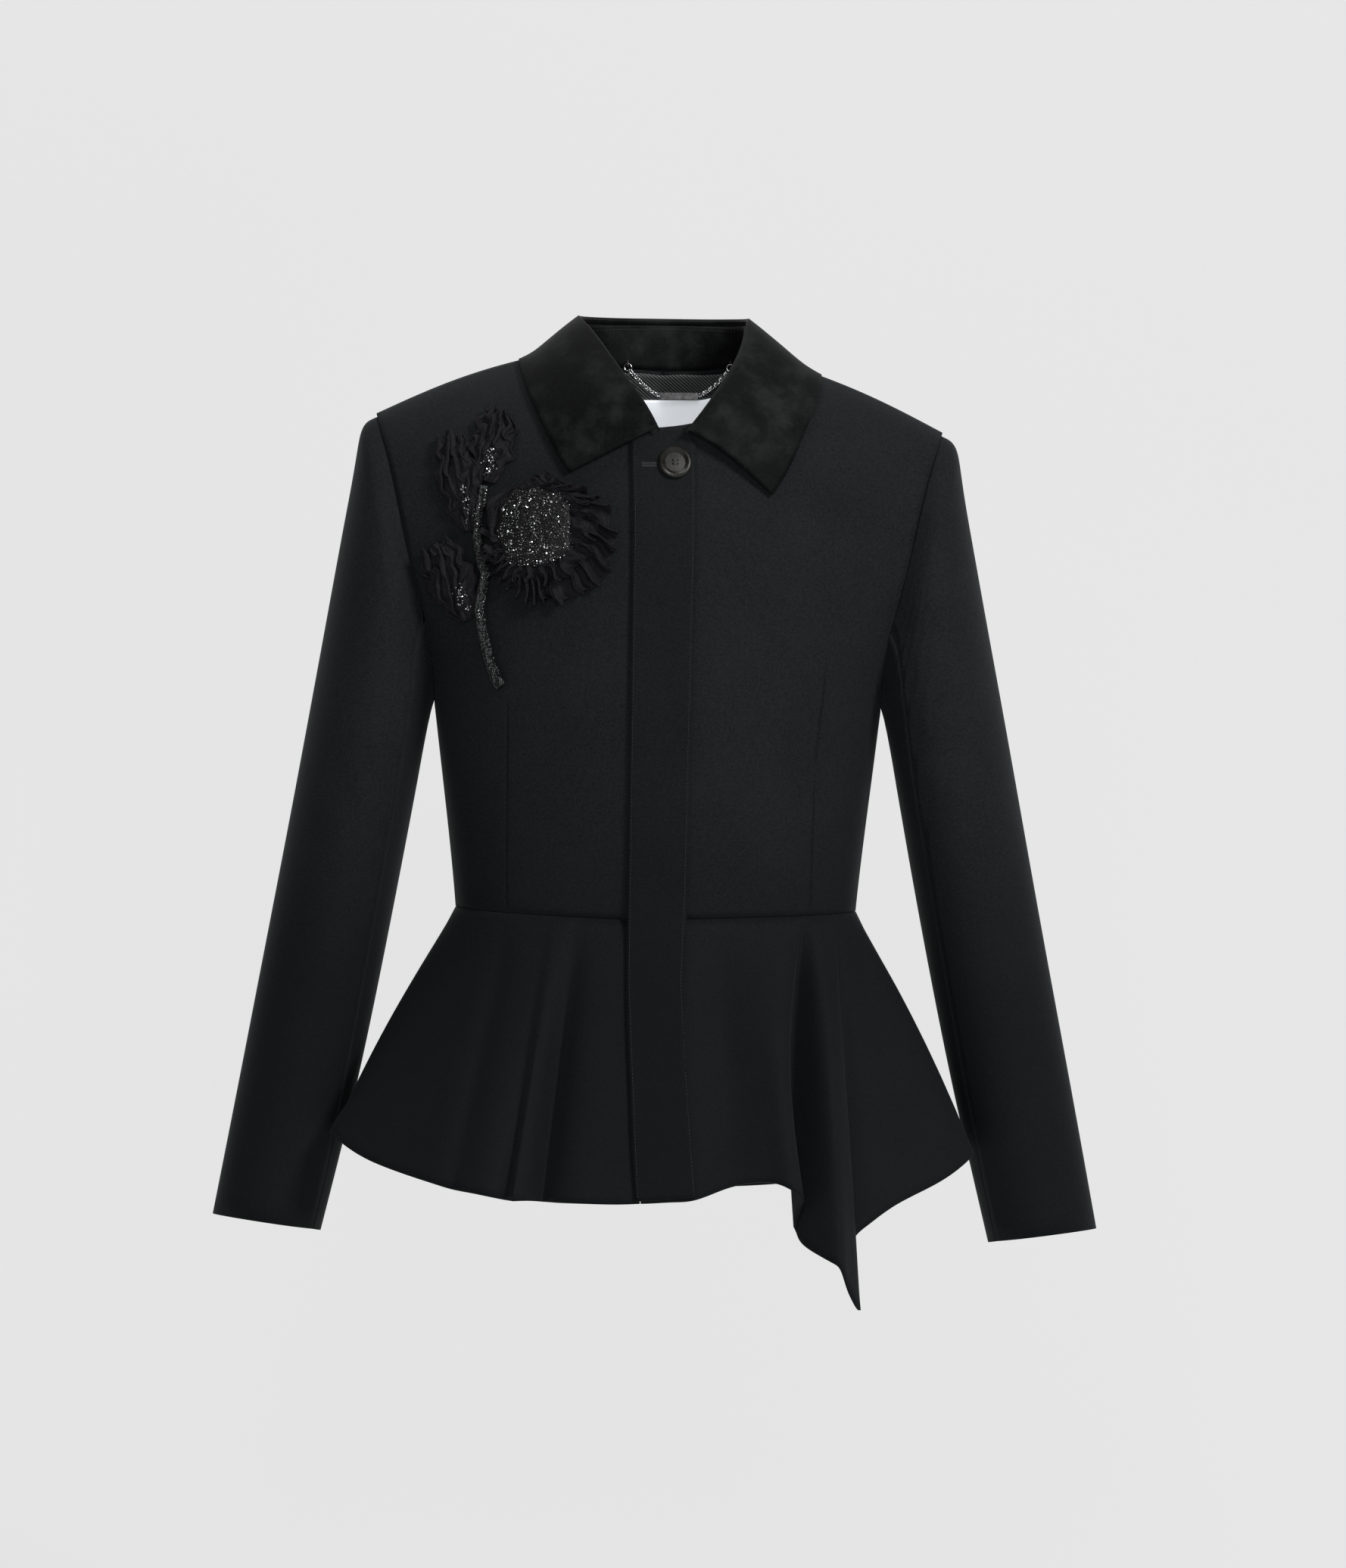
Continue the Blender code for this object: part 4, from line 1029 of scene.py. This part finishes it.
@dataclass
class BeadedFlower:
    """Ruched bloom with a beaded middle, three buds and a beaded stem, laid on the right front."""

    pad: tuple[float, float, float, float] = (-0.0896, -0.1268, 0.0286, 0.0306)
    ruffles: tuple[Ruffle, ...] = (
        Ruffle("bloom_ruffle_outer", "bloom_outer", (-0.0787, -0.1367), (0.0475, 0.0447), 19, 0.0082,
               0.0012, 5),
        Ruffle("bloom_ruffle_inner", "bloom_inner", (-0.0848, -0.1300), (0.0400, 0.0385), 16, 0.0068,
               0.0050, 11),
    )
    buds: tuple[Bud, ...] = (
        Bud("bud_top", (-0.1180, -0.0430), (-0.1280, -0.0930), 0.0150, 3),
        Bud("bud_side", (-0.1530, -0.0620), (-0.1370, -0.1290), 0.0150, 7),
        Bud("bud_low", (-0.1630, -0.1410), (-0.1360, -0.1930), 0.0165, 9),
    )
    stem: tuple[Spot, ...] = (
        (-0.1280, -0.0970), (-0.1310, -0.1160), (-0.1320, -0.1340), (-0.1280, -0.1530), (-0.1250, -0.1600),
        (-0.1270, -0.1710), (-0.1290, -0.1860), (-0.1260, -0.2030), (-0.1220, -0.2190), (-0.1160, -0.2360),
        (-0.1120, -0.2420))
    stem_radius: float = 0.0030
    stem_growth: float = 0.0011   # how much thicker the stem is at its foot
    stem_bugle: float = 0.55      # share of the stem's beads that are long
    stem_pitch: float = 0.0012
    stem_sides: int = 10
    stem_core: float = 0.8        # thickness of the core as a share of the stem's
    stem_lift: float = 0.0004
    stem_columns: int = 7         # beads round the stem at each place
    stem_wrap: float = 0.15       # how far they reach behind its sides, in radians
    stem_sunk: float = 0.86       # how far out they sit, as a share of its radius
    stem_scales: tuple[float, float] = (0.7, 1.35)
    around: int = 900
    across: int = 26
    tuck: float = 0.84            # how far in the ruffles start, as a share of the pad
    strip: float = 0.030          # width of the strip that is gathered
    ruffle_wall: float = 0.0005
    bud_wall: float = 0.0007
    bud_rows: int = 110
    bud_columns: int = 140
    bud_bead_count: int = 34
    bud_bead_spread: float = 0.0022
    bud_bead_lift: float = 0.0004
    pad_rings: int = 22
    pad_columns: int = 96
    pad_wall: float = 0.0050
    pad_edge: float = 0.0070      # height of the pad's edge above the cloth
    pad_dome: float = 0.0058      # how much higher its middle is
    pad_ripple: float = 0.0003
    pad_bead_lift: float = 0.0007
    corners: float = 0.05         # how much the pad is squared
    fray: float = 0.16            # how ragged the pad's outline is
    bead_count: int = 900
    bead_tries: int = 60000
    bead_reach: float = 0.985
    bead_sizes: tuple[float, ...] = (0.42, 0.60, 0.80, 1.20)
    bead_odds: tuple[float, ...] = (0.36, 0.36, 0.20, 0.08)
    bead_room: float = 0.00098    # least radius that a bead of size 1 keeps free
    clear_share: float = 0.34
    jet_share: float = 0.75       # share of the dark beads that are round
    small_bead: tuple[float, float] = (0.0016, 0.0014)        # length and thickness
    stem_bead: tuple[float, float] = (0.0018, 0.0016)
    stem_long_bead: tuple[float, float] = (0.0018, 0.0014)
    pad_bead: tuple[float, float] = (0.0021, 0.0019)
    pad_long_bead: tuple[float, float] = (0.0030, 0.0019)

    def build(self, cloth: Surface) -> None:
        """Make all parts of the flower on the cloth.

        Args:
            cloth: Search surface of the right front.
        """
        silk = FINISHES["ruched"].material()
        for ruffle in self.ruffles:
            self.gather(ruffle, cloth, silk)
        for bud in self.buds:
            self.ruche(bud, cloth, silk)
        self.dome(cloth)
        self.twine(cloth)

    def gather(self, ruffle: Ruffle, cloth: Surface, silk: Any) -> None:
        """Gathered strip whose folds lean over and open towards the free edge.

        Args:
            ruffle: Sizes of the strip.
            cloth: What it lies on.
            silk: Its material.
        """
        rng = np.random.default_rng(ruffle.seed)
        angles = np.linspace(0.0, math.tau, self.around, endpoint=False)
        edge = smooth_noise(rng, 5, 9)(angles)
        bend = smooth_noise(rng, 3, 7)(angles)
        depth = 1.0 + 0.9 * smooth_noise(rng, 2, 9)(angles)
        phase = ruffle.folds * angles + 7.0 * bend
        fray = smooth_noise(rng, 40, 30)(angles)
        lying = np.clip(-np.cos(angles), 0.0, 1.0) ** 1.5
        turning = ruffle.swirl * (1.0 + 1.5 * bend) + 6.0 * lying
        turning = turning + 3.4 * np.clip(np.cos(angles - 0.5), 0.0, 1.0)
        pad_x, pad_z, pad_w, pad_h = self.pad
        points: list[Vector] = []
        for row in range(self.across + 1):
            share = row / self.across
            grow = share ** 0.8
            turned = phase * (1.0 - 0.45 * lying) + turning * share + 0.8 * np.sin(9.0 * share + 6.0 * bend)
            fold = wave_sum(((1.0, turned, 0.0), (0.40, 2.0 * turned, 1.1),
                             (0.22, 3.1 * turned + bend * 6.0, 5.0 * share),
                             (0.12, 5.3 * turned, 11.0 * share)))
            slide = (0.85 * grow * np.cos(turned) + 0.35 * np.sin(2.0 * turned + 4.0 * share)) / ruffle.folds
            around = angles + slide
            reach = 1.0 + (0.13 * edge + 0.045 * np.sin(turned + 0.7) + 0.035 * fray) * share ** 2
            inner_x = pad_x + pad_w * self.tuck * np.cos(around)
            inner_z = pad_z + pad_h * self.tuck * np.sin(around)
            outer_x = ruffle.middle[0] + ruffle.half[0] * reach * np.cos(around)
            outer_z = ruffle.middle[1] + ruffle.half[1] * reach * np.sin(around)
            xs = inner_x + (outer_x - inner_x) * share
            zs = inner_z + (outer_z - inner_z) * share
            rise = ruffle.rise * (0.25 + 0.75 * grow) * depth * (fold * 0.5 + 0.5)
            crown = ruffle.crown * math.sin(math.pi * min(1.0, share * 1.1))
            rise = rise + ruffle.lip * np.clip(np.sin(0.5 * turned + 2.0 * bend), 0.0, 1.0) * share ** 3
            for x, z, up in zip(xs, zs, rise):
                points.append(cloth.lay(float(x), float(z), float(ruffle.lift + crown + max(up, 0.0))))
        made = mesh_object(ruffle.name, points, grid_faces(self.across + 1, self.around))
        self.finish(made, ruffle.node, silk, self.ruffle_wall, self.strip)

    def finish(self, made: Any, node: str, silk: Any, thickness: float, length: float) -> None:
        """Give ruched cloth its wall and its material.

        Args:
            made: The sheet.
            node: CAD node it stands for.
            silk: Its material.
            thickness: Thickness of the cloth.
            length: Not used.
        """
        self.wall(made, thickness)
        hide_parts(node)
        dressed(made, silk)
        log.info("%s: %d faces", made.name, len(made.data.polygons))

    def wall(self, made: Any, thickness: float) -> None:
        """Turn the faces to the front and give the cloth its thickness."""
        with edited(made.data) as work:
            if sum(face.normal.y * face.calc_area() for face in work.faces) > 0:
                bmesh.ops.reverse_faces(work, faces=work.faces)
        solid = made.modifiers.new("wall", "SOLIDIFY")
        solid.thickness = thickness
        solid.offset = -1.0
        flatten(made)

    def ruche(self, bud: Bud, cloth: Surface, silk: Any) -> None:
        """Bud of ruched cloth with ridges that run from the base and open into frills.

        Args:
            bud: Sizes of the bud.
            cloth: What it lies on.
            silk: Its material.
        """
        rng = np.random.default_rng(bud.seed)
        tip = np.array(bud.tip)
        base = np.array(bud.base)
        axis = tip - base
        side = np.array([-axis[1], axis[0]]) / np.linalg.norm(axis)
        rows, columns = self.bud_rows, self.bud_columns
        across = np.linspace(-1.0, 1.0, columns)
        wander = [rng.uniform(0, math.tau) for _ in range(6)]
        points: list[Vector] = []
        for row in range(rows + 1):
            u = row / rows
            width = bud.half * (0.22 + 0.86 * math.sin(math.pi * min(1.0, u * 0.80 + 0.06)) ** 0.8)
            ragged = 1.0 + 0.12 * math.sin(17.0 * u + wander[0]) + 0.08 * math.sin(31.0 * u + wander[1])
            along = u + 0.035 * np.sin(9.0 * across + wander[2]) * u ** 4
            along = along + 0.05 * np.sin(23 * across + wander[3]) * u ** 6
            ridge = across * 8.0 + 1.6 * math.sin(4.0 * u + wander[4])
            ridge = ridge + 1.1 * np.sin(8.0 * u + 4.0 * across + wander[1])
            ridge = ridge + 0.8 * np.sin(19.0 * u + 9.0 * across + wander[3])
            fold = wave_sum(((1.0, ridge * 1.7, 0.0), (0.5, ridge * 3.3, wander[5]),
                             (0.3, ridge * 6.1, 9.0 * u)))
            shift = 0.13 * np.cos(ridge * 1.7) * (0.3 + u) * (1.0 - np.abs(across) ** 6)
            crown = np.sqrt(np.clip(1.0 - across ** 2, 0.0, 1.0))
            height = bud.lift + bud.rise * crown * (0.35 + 0.65 * math.sin(math.pi * (0.12 + 0.76 * u)))
            height = height + bud.fold * (fold + 1.2) * (0.35 + 0.65 * u) * (0.30 + 0.70 * crown)
            lobes = np.clip(np.sin(13.0 * u + 5.0 * across + wander[5]), 0.0, 1.0)
            height = height + bud.fold * lobes * crown
            for k in range(columns):
                spot = base + axis * along[k] + side * (across[k] + shift[k]) * width * ragged
                points.append(cloth.lay(float(spot[0]), float(spot[1]), float(height[k])))
        made = mesh_object(f"ruched_{bud.node}", points, grid_faces(rows + 1, columns, False))
        self.finish(made, bud.node, silk, self.bud_wall, float(np.linalg.norm(axis)))
        self.bud_beads(bud, made, rng)

    def bud_beads(self, bud: Bud, made: Any, rng: np.random.Generator) -> None:
        """Strew small cut beads over the foot of a bud."""
        face = Surface(made)
        tip, base = Vector(bud.tip), Vector(bud.base)
        side = Vector((-(tip - base).y, (tip - base).x)).normalized()
        sites: list[Site] = []
        for _ in range(self.bud_bead_count):
            share = 0.10 + 0.40 * rng.uniform()
            spread = rng.normal(0.0, self.bud_bead_spread)
            spot = base.lerp(tip, share) + side * spread
            at, up = face.front(spot.x, spot.y)
            along = Vector((rng.uniform(-1, 1), 0.1, rng.uniform(-1, 1)))
            sites.append(Site(at + up * self.bud_bead_lift, along, up, rng.uniform(0.7, 1.1)))
        scatter(f"beads_{bud.node}", sites, FINISHES[Bead.CLEAR].material(), "beading", "crystal",
                *self.small_bead)

    def dome(self, cloth: Surface) -> None:
        """Low dark pad packed with crystal and jet beads."""
        pad_x, pad_z, half_w, half_h = self.pad
        rings, columns = self.pad_rings, self.pad_columns
        rng = np.random.default_rng(21)
        outline = smooth_noise(rng, 5, 9)

        def spot(angle: float, share: float) -> Spot:
            """Front view place at an angle and a share of the ragged outline."""
            reach = 1.0 - self.corners * math.cos(4 * angle) + self.fray * float(outline(np.float64(angle)))
            reach *= share
            return pad_x + half_w * reach * math.cos(angle), pad_z + half_h * reach * math.sin(angle)

        points: list[Vector] = [cloth.lay(pad_x, pad_z, self.pad_edge + self.pad_dome)]
        for ring in range(1, rings + 1):
            r = ring / rings
            for k in range(columns):
                angle = math.tau * k / columns
                lift = self.pad_edge + self.pad_dome * math.sqrt(max(0.0, 1.0 - r * r))
                lift += self.pad_ripple * math.sin(9 * angle + 14 * r)
                points.append(cloth.lay(*spot(angle, r), lift))
        faces: list[tuple[int, ...]] = [(0, 1 + k, 1 + (k + 1) % columns) for k in range(columns)]
        for ring in range(rings - 1):
            a, b = 1 + ring * columns, 1 + (ring + 1) * columns
            faces += [(a + k, b + k, b + (k + 1) % columns, a + (k + 1) % columns) for k in range(columns)]
        made = mesh_object("bead_ground_pad", points, faces)
        self.wall(made, self.pad_wall)
        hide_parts("bloom_pad")
        dressed(made, FINISHES["ground"].material())
        self.pad_beads(Surface(made), spot, rng)

    def pad_beads(self, face: Surface, spot: Callable[[float, float], Spot],
                  rng: np.random.Generator) -> None:
        """Pack the pad with beads of four sizes that don't overlap.

        Args:
            face: Search surface of the pad.
            spot: Place on the pad at an angle and a share of its outline.
            rng: Seeded random numbers.
        """
        chosen: list[tuple[float, float, float]] = []
        tries = 0
        while len(chosen) < self.bead_count and tries < self.bead_tries:
            tries += 1
            angle, share = rng.uniform(0, math.tau), math.sqrt(rng.uniform()) * self.bead_reach
            size = rng.choice(self.bead_sizes, p=self.bead_odds)
            x, z = spot(angle, share)
            if all((x - a) ** 2 + (z - b) ** 2 > ((size + c) * self.bead_room) ** 2 for a, b, c in chosen):
                chosen.append((x, z, size))
        groups: dict[Bead, list[Site]] = {kind: [] for kind in Bead}
        for x, z, size in chosen:
            at, up = face.front(x, z)
            dark = Bead.JET if rng.uniform() < self.jet_share else Bead.BUGLE
            kind = Bead.CLEAR if rng.uniform() < self.clear_share else dark
            along = Vector((rng.uniform(-1, 1), rng.uniform(-0.6, 0.6), rng.uniform(-1, 1)))
            groups[kind].append(Site(at + up * self.pad_bead_lift * size, along, up, float(size)))
        for kind, sites in groups.items():
            sizes = self.pad_long_bead if kind is Bead.BUGLE else self.pad_bead
            shape = "crystal" if kind is Bead.CLEAR else "bead"
            scatter(kind.value, sites, FINISHES[kind].material(), "beading", shape, *sizes)

    def twine(self, cloth: Surface) -> None:
        """Stem: a corded core wrapped in small beads."""
        line = along_line(self.stem, self.stem_pitch)
        radii = [self.stem_radius + self.stem_growth * k / len(line) for k in range(len(line))]
        middles = [cloth.lay(x, z, radius + self.stem_lift) for (x, z), radius in zip(line, radii)]
        sides = self.stem_sides
        points: list[Vector] = []
        for k, at in enumerate(middles):
            ahead = middles[min(k + 1, len(middles) - 1)] - middles[max(k - 1, 0)]
            _, up = cloth.front(at.x, at.z)
            side = up.cross(ahead).normalized()
            rise = ahead.cross(side).normalized()
            for j in range(sides):
                a = math.tau * j / sides
                points.append(at + (side * math.cos(a) + rise * math.sin(a)) * radii[k] * self.stem_core)
        faces = grid_faces(len(middles), sides)
        faces.append(tuple(range(sides)))
        last = (len(middles) - 1) * sides
        faces.append(tuple(reversed(range(last, last + sides))))
        made = mesh_object("stem_core", points, faces)
        with edited(made.data) as work:
            bmesh.ops.recalc_face_normals(work, faces=work.faces)
        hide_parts("stem")
        dressed(made, FINISHES["ground"].material())
        self.stem_beads(cloth, middles, radii)

    def stem_beads(self, cloth: Surface, middles: Sequence[Vector], radii: Sequence[float]) -> None:
        """Wrap the front half of the stem in small beads.

        Args:
            cloth: What it lies on.
            middles: The stem's middle line.
            radii: Its radius at each of those places.
        """
        rng = np.random.default_rng(33)
        sites: list[Site] = []
        bugles: list[Site] = []
        for k, at in enumerate(middles[:-1]):
            ahead = (middles[k + 1] - at).normalized()
            _, up = cloth.front(at.x, at.z)
            side = up.cross(ahead).normalized()
            for j in range(self.stem_columns):
                a = math.pi * (j + 0.5 * (k % 2)) / (self.stem_columns - 0.5) - self.stem_wrap
                way = side * math.cos(a) + up * math.sin(a)
                scale = rng.uniform(*self.stem_scales)
                site = Site(at + way * radii[k] * self.stem_sunk, ahead, way, scale)
                (bugles if rng.uniform() < self.stem_bugle else sites).append(site)
        scatter("stem_beads", sites, FINISHES[Bead.JET].material(), "beading", "crystal", *self.stem_bead)
        scatter("stem_bugles", bugles, FINISHES[Bead.BUGLE].material(), "beading", "stitch",
                *self.stem_long_bead)


@dataclass
class Studio:
    """Pale sweep that is seen from its front alone, soft lights and the camera at the photograph's view."""

    distance: float = 14.0
    floor_z: float = -1.05
    roll: float = math.radians(0.7)
    middle_pixel: tuple[float, float] = (PHOTO_SIZE[0] / 2, PHOTO_SIZE[1] / 2)
    half_width: float = 7.0
    front_y: float = -5.0
    wall_y: float = 1.6
    wall_top: float = 4.0
    bend: float = 1.0             # radius between floor and wall
    bend_parts: int = 12
    air: float = 0.15             # strength of the even light from all sides

    def build(self) -> None:
        """Make the backdrop, the lights and the camera."""
        self.sweep()
        self.camera()
        self.lights()

    def sweep(self) -> None:
        """Floor and wall in one curved sheet."""
        bend = self.bend
        line = [(self.front_y, self.floor_z)]
        for k in range(self.bend_parts + 1):
            angle = math.pi / 2 * k / self.bend_parts
            line.append((self.wall_y - bend + bend * math.sin(angle),
                         self.floor_z + bend - bend * math.cos(angle)))
        line.append((self.wall_y, self.wall_top))
        points = [(x, y, z) for y, z in line for x in (-self.half_width, self.half_width)]
        faces = [(2 * k, 2 * k + 1, 2 * k + 3, 2 * k + 2) for k in range(len(line) - 1)]
        made = mesh_object("studio_sweep", points, faces)
        shader = Shader("pale_paper")
        grain = shader.noise(3.0, 2.0)
        shader.set(Base_Color=shader.blend(grain, (0.135, 0.135, 0.136), (0.14, 0.14, 0.14)),
                   Roughness=0.95, Specular_IOR_Level=0.0, Emission_Strength=1.0,
                   Alpha=1 - shader.node("ShaderNodeNewGeometry", output="Backfacing"))
        shader.set(Emission_Color=(*(BACKDROP_GLOW,) * 3, 1.0))
        made.data.materials.append(shader.material)

    def camera(self) -> None:
        """Camera square to the jacket's front, at the photograph's scale."""
        x, z = photo_point(*self.middle_pixel)
        height = PHOTO_SIZE[1] / PHOTO_SCALE
        data = bpy.data.cameras.new("photo_camera")
        data.sensor_fit = "VERTICAL"
        data.sensor_height = 36.0
        data.lens = data.sensor_height * self.distance / height
        data.clip_end = 40.0
        made = linked("photo_camera", data)
        made.matrix_world = (Matrix.Translation((x, -self.distance, z)) @ Matrix.Rotation(math.pi / 2, 4, "X")
                             @ Matrix.Rotation(self.roll, 4, "Z"))
        bpy.context.scene.camera = made

    def lights(self) -> None:
        """Large soft lamps and an even pale surround."""
        world = bpy.data.worlds.new("studio_air")
        bpy.context.scene.world = world
        world.use_nodes = True
        air = world.node_tree.nodes["Background"]
        air.inputs["Color"].default_value = (1.0, 1.0, 1.0, 1.0)
        air.inputs["Strength"].default_value = self.air
        for name, place, aim, size, power in (
                ("key_lamp", (3.0, -3.4, 2.6), (0.0, 0.0, -0.2), 1.3, 215.0),
                ("front_lamp", (0.1, -4.8, 0.8), (0.0, 0.0, -0.1), 1.1, 62.0),
                ("top_lamp", (-0.6, 0.3, 3.0), (0.0, 0.0, -0.2), 1.8, 40.0),
                ("rear_lamp", (-1.8, 5.0, 2.0), (0.0, 0.0, -0.3), 2.0, 60.0)):
            data = bpy.data.lights.new(name, "AREA")
            data.size = size
            data.energy = power
            lamp = linked(name, data)
            lamp.location = place
            lamp.rotation_euler = (Vector(aim) - Vector(place)).to_track_quat("-Z", "Y").to_euler()
        bpy.context.scene.view_settings.view_transform = "Standard"


def main() -> None:
    """Build the jacket, dress it and light it."""
    logging.basicConfig(level=logging.INFO, format="%(name)s %(message)s")
    Studio().build()
    log.info("studio ready")
    thread = FINISHES["thread"].material()
    jacket = WoolJacket()
    jacket.build()
    jacket.dress(thread)
    log.info("wool jacket ready")
    collar = VelvetCollar()
    collar.build()
    collar.dress(thread)
    NeckLining().build(thread)
    log.info("collar and lining ready")
    ChainHanger().build()
    log.info("hanger ready")
    HornButton().build(thread, jacket.panels["front_band"])
    log.info("button ready")
    BeadedFlower().build(Surface(jacket.panels["front_right"]))
    log.info("flower ready")


if __name__ == "__main__":
    main()
